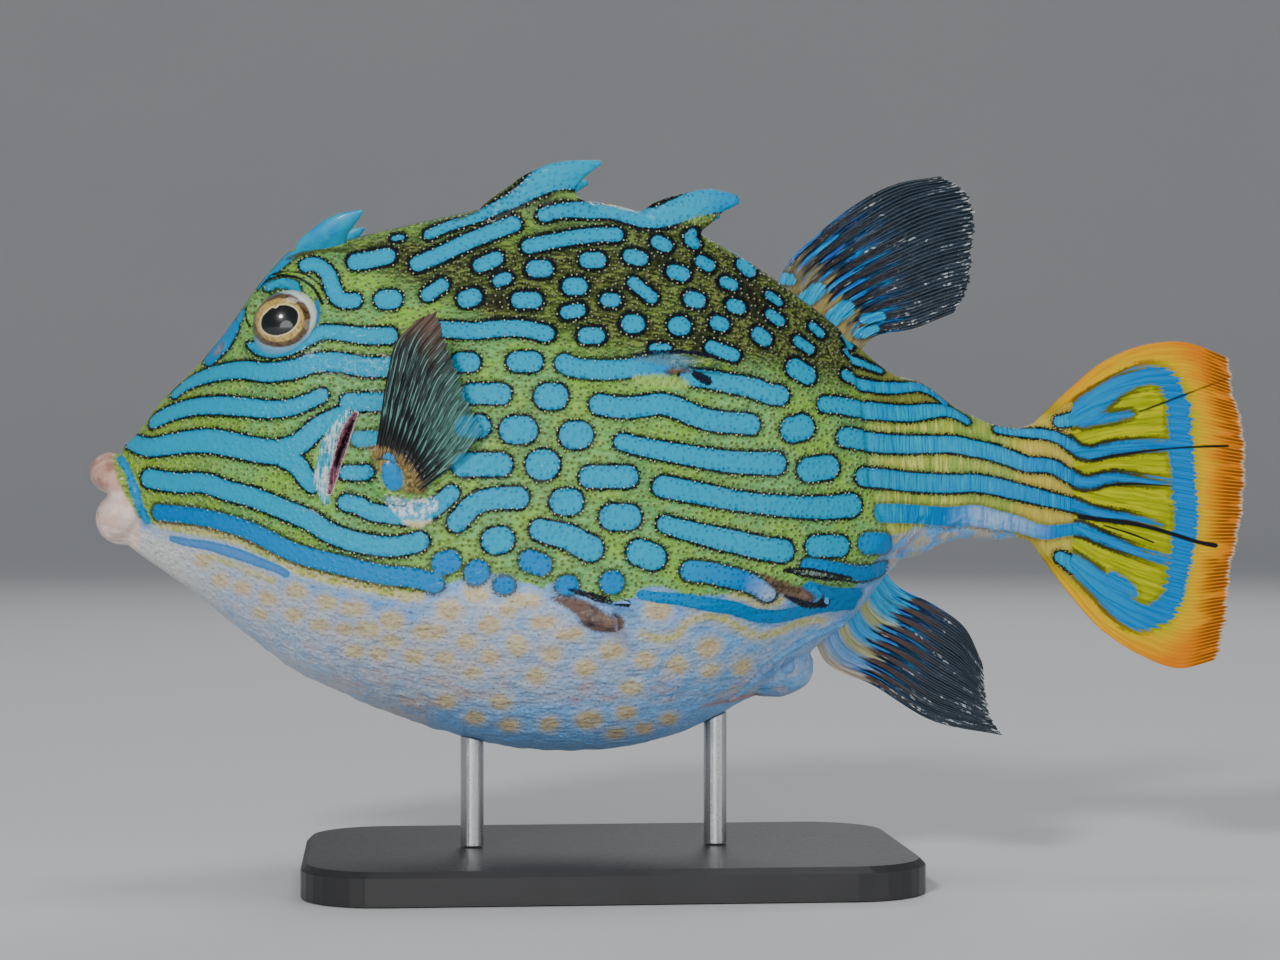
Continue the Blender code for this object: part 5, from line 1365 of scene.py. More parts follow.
class Shader:
    """A material's nodes, added and linked by short calls."""

    def __init__(self, name):
        self.material = bpy.data.materials.new(name)
        self.material.use_nodes = True
        self.tree = self.material.node_tree
        self.surface = self.tree.nodes["Principled BSDF"]
        self.place = self.tree.nodes.new("ShaderNodeTexCoord").outputs["Object"]

    def link(self, socket, value):
        if isinstance(value, bpy.types.NodeSocket):
            self.tree.links.new(value, socket)
        elif isinstance(value, tuple) and len(value) == 3 and socket.type == "RGBA":
            socket.default_value = (*value, 1.0)
        else:
            socket.default_value = value

    def set(self, **values):
        for name, value in values.items():
            self.link(self.surface.inputs[name.replace("_", " ")], value)

    def value(self, name):
        node = self.tree.nodes.new("ShaderNodeAttribute")
        node.attribute_name = name
        return node.outputs["Fac"]

    def split(self, vector):
        """The x, y and z of a vector."""
        node = self.tree.nodes.new("ShaderNodeSeparateXYZ")
        self.link(node.inputs[0], vector)
        return node.outputs

    def axis(self, index):
        """Place along x, y or z, in millimetres."""
        return self.math("DIVIDE", self.split(self.place)[index], MM)

    def math(self, operation, a, b=0.0, c=0.0):
        node = self.tree.nodes.new("ShaderNodeMath")
        node.operation = operation
        for socket, value in zip(node.inputs, (a, b, c)):
            self.link(socket, value)
        return node.outputs[0]

    def plus(self, a, b):
        return self.math("ADD", a, b)

    def minus(self, a, b):
        return self.math("SUBTRACT", a, b)

    def times(self, a, b):
        return self.math("MULTIPLY", a, b)

    def most(self, a, b):
        return self.math("MAXIMUM", a, b)

    def spread(self, value, factor, shift):
        """The value times a factor, plus a shift."""
        return self.math("MULTIPLY_ADD", value, factor, shift)

    def step(self, value, low, high):
        """Smooth step from 0 at low to 1 at high; low may be the larger."""
        node = self.tree.nodes.new("ShaderNodeMapRange")
        node.interpolation_type = "SMOOTHSTEP"
        self.link(node.inputs["Value"], value)
        flip = low > high
        node.inputs["From Min"].default_value = min(low, high)
        node.inputs["From Max"].default_value = max(low, high)
        node.inputs["To Min"].default_value = 1.0 if flip else 0.0
        node.inputs["To Max"].default_value = 0.0 if flip else 1.0
        return node.outputs["Result"]

    def vector(self, x, y):
        node = self.tree.nodes.new("ShaderNodeCombineXYZ")
        for socket, value in zip(node.inputs, (x, y)):
            self.link(socket, value)
        return node.outputs[0]

    def noise(self, size, detail=2.0, stretch=(1, 1, 1), roughness=0.5, place=None):
        """Noise with features of a size in millimetres, or in the units of another place."""
        node = self.tree.nodes.new("ShaderNodeTexNoise")
        self.link(node.inputs["Vector"], self.scaled(stretch) if place is None else place)
        node.inputs["Scale"].default_value = 1.0 / (size * MM) if place is None else 1.0 / size
        node.inputs["Detail"].default_value = detail
        node.inputs["Roughness"].default_value = roughness
        return node.outputs["Fac"]

    def scaled(self, stretch):
        if tuple(stretch) == (1, 1, 1):
            return self.place
        node = self.tree.nodes.new("ShaderNodeMapping")
        self.link(node.inputs["Vector"], self.place)
        node.inputs["Scale"].default_value = stretch
        return node.outputs["Vector"]

    def skin_cells(self, size, randomness, shift=0.0):
        """Distance from the middles of flat cells, laid out from the side or from above."""
        place = self.split(self.place)
        normal = self.split(self.tree.nodes.new("ShaderNodeNewGeometry").outputs["Normal"])
        found = []
        for second in (2, 1):
            node = self.tree.nodes.new("ShaderNodeTexVoronoi")
            node.voronoi_dimensions = "2D"
            self.link(node.inputs["Vector"], self.vector(place[0], self.plus(place[second], shift * MM)))
            node.inputs["Scale"].default_value = 1.0 / (size * MM)
            node.inputs["Randomness"].default_value = randomness
            found.append(node.outputs["Distance"])
        upward = self.step(self.math("ABSOLUTE", normal[2]), 0.70, 0.80)
        return self.spread(upward, self.minus(found[1], found[0]), found[0])

    def cells(self, size, feature="F1"):
        """Distance from the middle, or the edge, of cells of a size in millimetres, in cells."""
        node = self.tree.nodes.new("ShaderNodeTexVoronoi")
        node.feature = feature
        self.link(node.inputs["Vector"], self.place)
        node.inputs["Scale"].default_value = 1.0 / (size * MM)
        node.inputs["Randomness"].default_value = 1.0
        return node.outputs["Distance"]

    def mix(self, share, a, b):
        """Colour a where the share is 0, and b where it is 1."""
        node = self.tree.nodes.new("ShaderNodeMix")
        node.data_type = "RGBA"
        node.clamp_factor = True
        self.link(node.inputs["Factor"], share)
        self.link(node.inputs[COLOUR_A], a)
        self.link(node.inputs[COLOUR_B], b)
        return node.outputs[COLOUR_OUT]

    def ramp(self, value, *stops):
        node = self.tree.nodes.new("ShaderNodeValToRGB")
        self.link(node.inputs["Fac"], value)
        elements = node.color_ramp.elements
        while len(elements) < len(stops):
            elements.new(0.5)
        for element, (position, colour) in zip(elements, stops):
            element.position = position
            element.color = (*colour, 1.0)
        return node.outputs["Color"]

    def bump(self, height, depth, normal=None):
        """Relief whose full height is a depth in millimetres."""
        node = self.tree.nodes.new("ShaderNodeBump")
        node.inputs["Distance"].default_value = depth * MM
        self.link(node.inputs["Height"], height)
        if normal is not None:
            self.link(node.inputs["Normal"], normal)
        return node.outputs["Normal"]


def skin_material():
    s = Shader("wet_skin")
    rear, dark, front = s.value("rear"), s.value("dark"), s.value("front")
    on_lip = s.value("lip")
    on_shell = s.times(s.minus(1.0, rear), s.minus(1.0, on_lip))
    jitter = s.spread(s.noise(0.30, 3.0), 1.6, -0.8)
    granules = s.skin_cells(GRANULE, GRANULE_SPREAD)
    glints = s.skin_cells(GRANULE, GRANULE_SPREAD, GLINT_SHIFT)
    belly = s.plus(s.value("belly"), s.spread(s.noise(1.3, 3.0), 1.2, -0.6))
    on_belly = s.step(belly, -0.35, 0.35)
    on_side = s.minus(1.0, on_belly)
    streaks = s.noise(0.5, 2.0, stretch=(1.0, 0.12, 0.12))
    fibres = s.noise(0.45, 3.0, stretch=(0.35, 1.0, 1.0))

    colour = skin_ground(s, dark, front, rear, fibres, streaks)
    dots = s.times(s.step(granules, 0.25, 0.13), on_shell)
    ring = s.times(s.step(granules, 0.42, 0.32), s.minus(1.0, dark))
    colour = s.mix(s.times(s.times(ring, on_shell), 0.35), colour, (0.42, 0.66, 0.20))
    colour = s.mix(s.times(dots, s.spread(front, -0.35, 0.72)), colour, (0.045, 0.034, 0.010))
    colour = s.mix(on_belly, colour, skin_belly(s, belly))
    colour = belly_marks_colour(s, colour, on_belly)

    # Fuzzy black outline in a soft dark halo, and the smooth-edged blue inside it.
    mark = s.spread(jitter, 0.35, s.value("mark"))
    edge = s.minus(s.plus(s.value("mark"), jitter), s.times(dark, 0.30))
    outline = s.value("outline")
    halo = s.times(s.step(s.minus(edge, jitter), 1.25, 0.40), outline)
    colour = s.mix(s.times(halo, 0.45), colour, (0.040, 0.070, 0.014))
    ink = s.times(s.step(edge, 0.52, 0.30), outline)
    colour = s.mix(ink, colour, (0.003, 0.005, 0.006))
    blue = skin_blue(s, rear, streaks)
    inner = s.times(s.times(dots, s.step(s.value("mark"), -1.6, -0.5)), 0.5)
    inner = s.times(inner, s.step(s.axis(0), -46.0, -34.0))
    blue = s.mix(inner, blue, (0.0, 0.08, 0.26))
    colour = s.mix(s.step(mark, 0.10, -0.08), colour, blue)

    # Painted highlights: pale glints on the granules' tips, in rows along the outlines and all over the back.
    near_edge = s.times(s.step(s.value("mark"), 1.0, 0.5), s.step(s.value("mark"), -0.35, 0.0))
    some = s.step(s.noise(2.0, 1.0), 0.47, 0.60)
    outside = s.step(s.value("mark"), -0.30, 0.05)
    spread = s.most(s.times(dark, 0.55), s.times(some, 0.45))
    painted_glints = s.most(s.times(near_edge, outline), s.times(spread, outside))
    painted_glints = s.times(painted_glints, s.times(on_side, on_shell))
    painted_glints = s.times(painted_glints, s.step(glints, 0.15, 0.08))
    colour = s.mix(s.times(painted_glints, 0.9), colour, (0.66, 0.68, 0.44))

    colour = skin_paints(s, colour, jitter)
    colour = skin_openings(s, colour, jitter)
    colour = s.mix(on_lip, colour, lip_colour(s))

    # Granules on the shell, wrinkles on the belly, upright ones at the tail root.
    shell = s.times(on_shell, s.spread(on_belly, -0.7, 1.0))
    shell = s.times(shell, s.spread(s.step(s.value("mark"), 0.1, -0.5), -0.75, 1.0))
    wrinkles = s.noise(1.0, 3.0, stretch=(0.45, 1.0, 1.2))
    normal = s.bump(s.times(s.step(granules, 0.42, 0.08), shell), 0.26)
    normal = s.bump(s.times(wrinkles, on_belly), 0.30, normal)
    normal = s.bump(s.times(streaks, rear), 0.36, normal)
    normal = s.bump(fibres, 0.08, normal)
    rough = s.spread(s.noise(1.4, 2.0), 0.20, 0.34)
    s.set(Base_Color=colour, Roughness=rough, Normal=normal, Coat_Normal=normal)
    coat = s.spread(s.step(s.value("mark"), 0.1, -0.4), -0.14, 0.24)
    coat = s.most(s.times(on_lip, 0.8), coat)
    s.set(Coat_Weight=coat, Coat_Roughness=0.12, Specular_IOR_Level=0.12)
    return s.material


def skin_ground(s, dark, front, rear, fibres, streaks):
    """Green of the side: light flank, dark streaked back, yellow tail root."""
    patches, grain = s.noise(6.5, 3.0), s.noise(0.26, 2.0)
    light = s.mix(s.step(patches, 0.38, 0.60), (0.24, 0.50, 0.060), (0.15, 0.46, 0.15))
    light = s.mix(s.times(s.step(s.noise(9.0, 2.0), 0.52, 0.66), 0.6), light, (0.09, 0.30, 0.12))
    light = s.mix(s.times(front, 0.85), light, (0.30, 0.47, 0.030))
    light = s.mix(s.times(s.step(fibres, 0.50, 0.64), 0.60), light, (0.085, 0.15, 0.020))
    light = s.mix(s.times(s.step(fibres, 0.44, 0.32), 0.50), light, (0.46, 0.62, 0.12))
    light = s.mix(s.times(s.step(grain, 0.50, 0.64), 0.50), light, (0.06, 0.13, 0.02))
    deep = s.mix(s.step(fibres, 0.38, 0.56), (0.16, 0.21, 0.045), (0.014, 0.017, 0.004))
    deep = s.mix(s.times(s.step(grain, 0.46, 0.34), 0.5), deep, (0.24, 0.26, 0.07))
    uneven = s.spread(patches, 1.2, -0.6)
    share = s.plus(dark, s.times(uneven, s.step(s.value("high"), 0.0, 0.7)))
    green = s.mix(share, light, deep)
    green = s.mix(s.step(dark, 1.05, 1.5), green, (0.010, 0.009, 0.004))
    yellow = s.mix(s.step(s.noise(2.6, 3.0), 0.40, 0.60), (0.46, 0.50, 0.060), (0.24, 0.40, 0.060))
    yellow = s.mix(s.step(streaks, 0.48, 0.62), yellow, (0.60, 0.62, 0.13))
    yellow = s.mix(s.times(s.step(streaks, 0.42, 0.30), 0.5), yellow, (0.16, 0.22, 0.03))
    x, z = s.axis(0), s.axis(2)
    upper = s.times(s.step(z, AXIS_HEIGHT + 7.5, AXIS_HEIGHT + 12.5), s.step(x, 54.0, 44.0))
    yellow = s.mix(s.times(upper, 0.75), yellow, (0.15, 0.16, 0.030))
    band = s.times(s.step(x, 42.5, 46.0), s.step(x, 54.0, 51.0))
    yellow = s.mix(s.times(band, 0.55), yellow, (0.22, 0.34, 0.06))
    speckle = s.step(s.cells(0.6), 0.30, 0.15)
    yellow = s.mix(s.times(speckle, 0.5), yellow, (0.10, 0.12, 0.03))
    yellow = s.mix(s.times(s.step(x, 51.5, 54.5), 0.8), yellow, (0.56, 0.42, 0.06))
    ground = s.mix(rear, green, yellow)
    return s.mix(s.step(s.value("margin"), -0.8, 0.8), ground, (0.46, 0.30, 0.02))


def skin_blue(s, rear, streaks):
    """Blue of the marks: even on the shell, streaked upright at the tail root."""
    blue = s.ramp(s.value("hue"), *SKIN_BLUES)
    soft = s.noise(0.8, 3.0)
    blue = s.mix(s.times(s.step(soft, 0.50, 0.68), 0.35), blue, (0.0, 0.25, 0.52))
    blue = s.mix(s.times(s.step(s.value("mark"), -0.65, -0.05), 0.40), blue, (0.0, 0.16, 0.37))
    lines = s.times(rear, s.step(streaks, 0.46, 0.60))
    blue = s.mix(s.times(lines, 0.50), blue, (0.0, 0.19, 0.55))
    light = s.times(rear, s.step(streaks, 0.40, 0.30))
    return s.mix(s.times(light, 0.5), blue, (0.02, 0.46, 0.68))


def skin_belly(s, belly):
    """Pale belly: cream at the chin, lavender, then blue to the rear and at the keel."""
    clouds = s.noise(4.0, 4.0, roughness=0.6)
    pale = s.mix(s.value("aft"), s.ramp(clouds, *BELLY_MIDDLE), s.ramp(clouds, *BELLY_AFT))
    pink = s.times(s.step(s.noise(3.0, 3.0), 0.48, 0.64), s.value("low"))
    pale = s.mix(s.times(pink, 0.60), pale, (0.62, 0.43, 0.36))
    under = s.plus(belly, s.spread(clouds, 6.0, -3.0))
    pale = s.mix(s.times(s.step(under, 5.5, 0.5), 0.65), pale, (0.03, 0.32, 0.78))
    keel = s.plus(s.value("keel"), s.spread(clouds, 0.9, -0.45))
    pale = s.mix(s.step(keel, 0.30, 0.90), pale, (0.20, 0.52, 1.0))
    chin = s.times(s.step(s.value("front"), 0.30, 0.85), s.step(belly, 0.4, 2.6))
    pale = s.mix(s.times(chin, 0.9), pale, (0.74, 0.74, 0.66))
    net = s.cells(1.15, "DISTANCE_TO_EDGE")
    pale = s.mix(s.times(s.step(net, 0.14, 0.03), 0.25), pale, (0.18, 0.22, 0.36))
    grain = s.noise(0.35, 2.0)
    pale = s.mix(s.times(s.step(grain, 0.50, 0.66), 0.25), pale, (0.62, 0.72, 0.84))
    wrinkles = s.noise(0.9, 3.0, stretch=(0.25, 1.0, 1.0))
    pale = s.mix(s.times(s.step(wrinkles, 0.44, 0.32), 0.35), pale, (0.20, 0.26, 0.42))
    tail = s.times(s.value("rear"), s.step(s.noise(2.4, 3.0), 0.44, 0.58))
    return s.mix(s.times(tail, 0.8), pale, (0.50, 0.42, 0.24))


def belly_marks_colour(s, colour, on_belly):
    """Tan spots and yellow lines, with a paler rim and dark pores."""
    gold = s.plus(s.value("gold"), s.spread(s.noise(0.6, 3.0), 1.8, -0.9))
    gold = s.spread(s.value("tan"), -0.3, gold)
    halo = s.times(s.step(gold, 1.4, 0.3), on_belly)
    colour = s.mix(s.times(halo, 0.40), colour, (0.62, 0.60, 0.56))
    tan = s.mix(s.value("tan"), (0.50, 0.50, 0.11), (0.60, 0.46, 0.24))
    tan = s.mix(s.step(s.noise(0.9, 2.0), 0.4, 0.6), tan, (0.66, 0.58, 0.34))
    colour = s.mix(s.times(s.step(gold, 0.45, -0.45), 0.9), colour, tan)
    pores = s.times(s.step(s.cells(1.1), 0.20, 0.10), on_belly)
    return s.mix(s.times(pores, 0.50), colour, (0.10, 0.07, 0.08))


def skin_paints(s, colour, jitter):
    """Sheaths and flaps of the spines, crescents under them, and the pectoral fin's root."""
    bone = s.noise(0.7, 2.0)
    strands = s.noise(0.35, 2.0, stretch=(0.6, 1.0, 0.5))
    ragged = s.times(jitter, 0.6)

    def stroke(name, low, high, strength=1.0):
        share = s.step(s.plus(s.value(name), ragged), high, low)
        return s.times(share, strength)

    lime = s.mix(bone, (0.22, 0.48, 0.06), (0.46, 0.62, 0.18))
    colour = s.mix(stroke("lime", -0.3, 0.5, 0.85), colour, lime)
    moss = s.mix(bone, (0.020, 0.024, 0.006), (0.10, 0.12, 0.025))
    colour = s.mix(stroke("moss", -0.2, 0.2, 0.9), colour, moss)
    tan = s.mix(s.step(strands, 0.40, 0.60), (0.34, 0.23, 0.085), (0.13, 0.085, 0.035))
    lobe = s.times(stroke("lobe", -0.5, 0.5, 0.9), s.step(s.value("mark"), -0.2, 0.15))
    colour = s.mix(lobe, colour, tan)
    fan = s.mix(s.step(strands, 0.42, 0.58), (0.72, 0.78, 0.80), (0.10, 0.40, 0.62))
    fan = s.mix(s.step(s.axis(2), AXIS_HEIGHT - 5.6, AXIS_HEIGHT - 6.2), fan, (0.72, 0.66, 0.36))
    colour = s.mix(stroke("fan", -0.35, 0.35, 0.9), colour, fan)
    pink = s.mix(bone, (0.30, 0.13, 0.10), (0.56, 0.36, 0.30))
    colour = s.mix(stroke("pink", -0.5, 0.3, 0.8), colour, pink)
    brown = s.mix(s.step(s.noise(2.4, 2.0), 0.40, 0.60), (0.070, 0.040, 0.026), (0.17, 0.095, 0.055))
    colour = s.mix(stroke("sheath", -0.5, 0.25, 0.95), colour, brown)
    flap = s.mix(s.step(s.axis(0), -3.0, 2.5), (0.06, 0.22, 0.32), (0.018, 0.035, 0.045))
    flap = s.mix(s.times(bone, 0.4), flap, (0.14, 0.22, 0.26))
    colour = s.mix(stroke("flap", -0.6, 0.25, 0.9), colour, flap)
    colour = s.mix(stroke("blade", -0.12, 0.14), colour, (0.005, 0.006, 0.010))
    leaf = s.mix(s.step(strands, 0.44, 0.58), (0.05, 0.10, 0.05), (0.26, 0.34, 0.30))
    colour = s.mix(stroke("blade", -0.62, -0.36, 0.9), colour, leaf)
    return s.mix(stroke("navy", -0.12, 0.12), colour, (0.004, 0.006, 0.022))


def skin_openings(s, colour, jitter):
    """Folds over the eye, gill slit and cover, and nostril, with painted shade in the middle of the slit and
    the pit.
    """
    colour = s.mix(s.step(s.value("fold"), 0.10, -0.05), colour, (0.006, 0.008, 0.008))
    lines = s.noise(0.30, 1.0, stretch=(1.0, 1.0, 0.08))
    cover = s.mix(s.step(lines, 0.42, 0.58), (0.02, 0.34, 0.50), (0.50, 0.68, 0.70))
    colour = s.mix(s.step(s.plus(s.value("cover"), jitter), 0.15, -0.35), colour, cover)
    slit = s.plus(s.value("slit"), s.times(jitter, 0.3))
    colour = s.mix(s.step(slit, 0.30, 0.16), colour, (0.56, 0.54, 0.58))
    flesh = s.mix(s.step(lines, 0.40, 0.60), (0.40, 0.17, 0.22), (0.16, 0.04, 0.08))
    colour = s.mix(s.step(slit, 0.08, -0.06), colour, flesh)
    # Painted shade: near black down the middle of the gill slit.
    colour = s.mix(s.step(s.value("gap"), 0.10, -0.10), colour, (0.010, 0.004, 0.006))
    colour = s.mix(s.times(s.step(s.value("pit"), 1.7, 0.9), 0.6), colour, (0.26, 0.13, 0.05))
    # Painted shade: near black in the middle of the nostril pit.
    return s.mix(s.step(s.value("pit"), 0.62, 0.40), colour, (0.010, 0.008, 0.008))


def lip_colour(s):
    clouds = s.noise(2.2, 4.0)
    lower = s.mix(s.step(clouds, 0.35, 0.65), (0.76, 0.52, 0.44), (0.90, 0.76, 0.68))
    upper = s.mix(s.step(clouds, 0.35, 0.65), (0.38, 0.18, 0.14), (0.66, 0.40, 0.32))
    return s.mix(s.value("upper_lip"), lower, upper)


def fin_grain(s, across, along):
    """Noise drawn out along the rays of a fin: lengths across and along it, in features."""
    s_across = s.times(s.value("across"), across)
    return s.noise(1.0, 2.0, place=s.vector(s_across, s.times(s.value("along"), along)))


def tail_fin_material():
    s = Shader("tail_fin_web")
    along, inner = s.value("along"), s.value("inner")
    strand, coarse = fin_grain(s, 110.0, 6.0), fin_grain(s, 34.0, 5.0)
    lines = s.step(s.value("ray"), 0.16, 0.06)
    feather = s.times(s.spread(strand, 3.0, -1.5), s.step(along, 0.30, 0.75))
    feather = s.plus(feather, s.spread(s.noise(0.5, 2.0), 0.7, -0.35))

    far = s.plus(inner, s.spread(coarse, 5.0, -2.5))
    orange = s.mix(s.step(far, 1.0, 6.0), (0.74, 0.42, 0.0), (0.72, 0.20, 0.0))
    near = s.times(s.step(inner, 2.4, 0.2), s.step(strand, 0.40, 0.56))
    orange = s.mix(near, orange, (0.46, 0.46, 0.0))
    tips = s.times(s.step(along, 0.84, 0.95), s.step(s.value("ray"), 0.24, 0.12))
    tips = s.times(tips, s.step(coarse, 0.36, 0.50))
    orange = s.mix(s.times(lines, 0.25), orange, (0.50, 0.17, 0.0))
    orange = s.mix(s.times(tips, 0.85), orange, (0.10, 0.045, 0.002))
    rim = s.step(s.plus(along, s.times(strand, 0.05)), 1.005, 1.035)
    orange = s.mix(s.times(rim, 0.8), orange, (0.80, 0.78, 0.66))

    olive = s.mix(s.step(strand, 0.36, 0.64), (0.47, 0.50, 0.0), (0.30, 0.36, 0.0))
    olive = s.mix(s.times(lines, 0.45), olive, (0.15, 0.17, 0.0))
    olive = s.mix(s.times(s.step(coarse, 0.46, 0.36), 0.5), olive, (0.60, 0.56, 0.0))
    olive = s.mix(s.step(along, 0.17, 0.04), olive, (0.50, 0.38, 0.05))
    shade = s.plus(inner, s.times(feather, 0.7))
    colour = s.mix(s.step(shade, 0.6, -0.6), orange, olive)
    root = s.times(s.step(along, 0.26, 0.04), s.step(shade, -0.6, 0.6))
    colour = s.mix(root, colour, (0.30, 0.20, 0.02))

    mark = s.plus(s.value("mark"), feather)
    ink = s.times(s.step(mark, 0.95, 0.45), s.value("outline"))
    ink = s.times(ink, s.step(along, 0.90, 0.45))
    colour = s.mix(s.times(ink, 0.95), colour, (0.008, 0.010, 0.006))
    blue = s.ramp(s.value("hue"), *TAIL_BLUES)
    blue = s.mix(s.times(s.step(strand, 0.45, 0.62), 0.40), blue, (0.0, 0.15, 0.52))
    blue = s.mix(s.times(s.step(mark, -0.9, -0.1), 0.4), blue, (0.0, 0.15, 0.44))
    blue = s.mix(s.times(lines, 0.30), blue, (0.0, 0.09, 0.34))
    colour = s.mix(s.step(mark, 0.25, -0.30), colour, blue)
    thick = s.plus(s.value("thick"), s.spread(coarse, 0.3, -0.15))
    colour = s.mix(s.step(thick, 0.12, -0.1), colour, (0.006, 0.008, 0.010))
    normal = s.bump(strand, 0.12)
    s.set(Base_Color=colour, Roughness=0.42, Normal=normal, Coat_Normal=normal)
    s.set(Coat_Weight=0.18, Coat_Roughness=0.10, Specular_IOR_Level=0.08)
    return s.material


def median_fin_material(name, stem, web_blue, bars, bar_reach):
    """Dark clear web with blue between its stems, and bars of colour over its root."""
    s = Shader(name)
    along, across = s.value("along"), s.value("across")
    ray, between = s.value("ray"), s.value("stem")
    strand, coarse = fin_grain(s, 60.0, 7.0), fin_grain(s, 22.0, 5.0)
    reach = s.plus(along, s.spread(coarse, 0.5, -0.25))
    dark = s.mix(strand, (0.001, 0.006, 0.013), (0.005, 0.016, 0.026))
    blue = s.mix(s.step(strand, 0.40, 0.62), web_blue, (0.0, 0.30, 0.66))
    blue = s.mix(s.step(between, 0.50, 0.70), (0.003, 0.004, 0.008), blue)
    blue = s.mix(s.times(s.step(coarse, 0.52, 0.46), 0.9), blue, (0.002, 0.008, 0.020))
    colour = s.mix(s.step(reach, 0.68, 0.42), dark, blue)
    stems = s.times(s.step(between, 0.42, 0.20), s.step(along, 0.75, 0.35))
    colour = s.mix(stems, colour, stem)
    wash = s.times(s.step(coarse, 0.44, 0.60), s.step(along, 0.30, 0.60))
    colour = s.mix(s.times(wash, 0.6), colour, (0.018, 0.034, 0.056))
    pale = s.times(s.step(ray, 0.13, 0.05), s.step(along, 0.25, 0.60))
    colour = s.mix(s.times(pale, 0.55), colour, (0.085, 0.11, 0.14))
    glints = s.times(s.step(ray, 0.22, 0.10), s.step(fin_grain(s, 40.0, 30.0), 0.52, 0.60))
    margin = s.step(s.plus(along, s.times(strand, 0.12)), 0.99, 1.05)
    rows = s.times(s.step(coarse, 0.60, 0.68), s.step(along, 0.20, 0.40))
    low = s.times(s.step(across, 0.80, 0.94), s.step(along, 0.30, 0.55))
    low = s.times(low, s.step(fin_grain(s, 14.0, 6.0), 0.48, 0.58))
    rows = s.most(rows, s.times(low, s.step(along, 0.95, 0.80)))
    glints = s.times(glints, s.most(margin, rows))
    colour = s.mix(s.times(glints, 0.9), colour, (0.62, 0.66, 0.68))
    root = s.ramp(across, *bars)
    root = s.mix(s.times(s.step(strand, 0.42, 0.60), 0.35), root, (0.06, 0.16, 0.20))
    colour = s.mix(s.step(reach, bar_reach + 0.06, bar_reach - 0.04), colour, root)
    jitter = s.spread(strand, 1.2, -0.6)
    mark = s.plus(s.value("mark"), jitter)
    ink = s.times(s.step(mark, 0.6, 0.3), s.value("outline"))
    colour = s.mix(s.times(ink, 0.7), colour, (0.020, 0.020, 0.018))
    patch = s.mix(s.step(strand, 0.42, 0.62), (0.0, 0.40, 0.66), (0.0, 0.25, 0.60))
    colour = s.mix(s.step(mark, 0.15, -0.15), colour, patch)
    normal = s.bump(fin_grain(s, 70.0, 18.0), 0.34)
    s.set(Base_Color=colour, Roughness=0.36, Normal=normal, Coat_Normal=normal)
    s.set(Coat_Weight=0.4, Coat_Roughness=0.07, Specular_IOR_Level=0.08)
    return s.material


def paired_fin_material():
    s = Shader("dark_paired_web")
    along, across = s.value("along"), s.value("across")
    web = s.noise(1.4, 3.0)
    strand = fin_grain(s, 70.0, 8.0)
    lines = s.step(s.value("ray"), 0.13, 0.05)
    dark = s.mix(web, (0.004, 0.006, 0.007), (0.020, 0.026, 0.026))
    green = s.mix(s.step(strand, 0.40, 0.62), (0.018, 0.048, 0.040), (0.055, 0.17, 0.13))
    rear = s.times(s.step(across, 0.30, 0.85), s.step(along, 0.25, 0.60))
    colour = s.mix(rear, dark, green)
    seen = s.step(s.plus(s.value("behind"), s.spread(strand, 1.6, -0.8)), 0.2, -0.5)
    colour = s.mix(s.times(s.times(seen, rear), 0.8), colour, (0.0, 0.22, 0.40))
    broken = s.step(fin_grain(s, 30.0, 7.0), 0.42, 0.56)
    fine = s.times(s.times(lines, broken), s.step(along, 0.10, 0.35))
    colour = s.mix(s.times(fine, 0.9), colour, (0.14, 0.36, 0.31))
    hairs = s.times(s.step(fin_grain(s, 160.0, 5.0), 0.60, 0.68), s.step(along, 0.10, 0.35))
    colour = s.mix(s.times(hairs, 0.7), colour, (0.12, 0.26, 0.24))
    tip = s.times(s.step(along, 0.72, 0.95), s.step(across, 0.50, 0.10))
    colour = s.mix(s.times(tip, 0.85), colour, (0.12, 0.062, 0.042))
    colour = s.mix(s.times(s.step(along, 0.30, 0.10), 0.8), colour, (0.006, 0.007, 0.008))
    ragged = s.spread(strand, 3.0, -1.5)
    tan = s.mix(s.step(strand, 0.40, 0.60), (0.36, 0.24, 0.085), (0.10, 0.065, 0.03))
    colour = s.mix(s.step(s.plus(s.value("lobe"), ragged), 0.3, -0.5), colour, tan)
    patch = s.spread(ragged, 0.25, s.value("patch"))
    colour = s.mix(s.times(s.step(patch, 0.45, 0.15), 0.6), colour, (0.030, 0.024, 0.016))
    blue = s.mix(s.step(strand, 0.42, 0.58), (0.02, 0.34, 0.60), (0.04, 0.18, 0.46))
    colour = s.mix(s.step(patch, 0.15, -0.15), colour, blue)
    normal = s.bump(strand, 0.14)
    s.set(Base_Color=colour, Roughness=0.40, Normal=normal, Coat_Normal=normal)
    s.set(Coat_Weight=0.35, Coat_Roughness=0.10, Specular_IOR_Level=0.10)
    return s.material


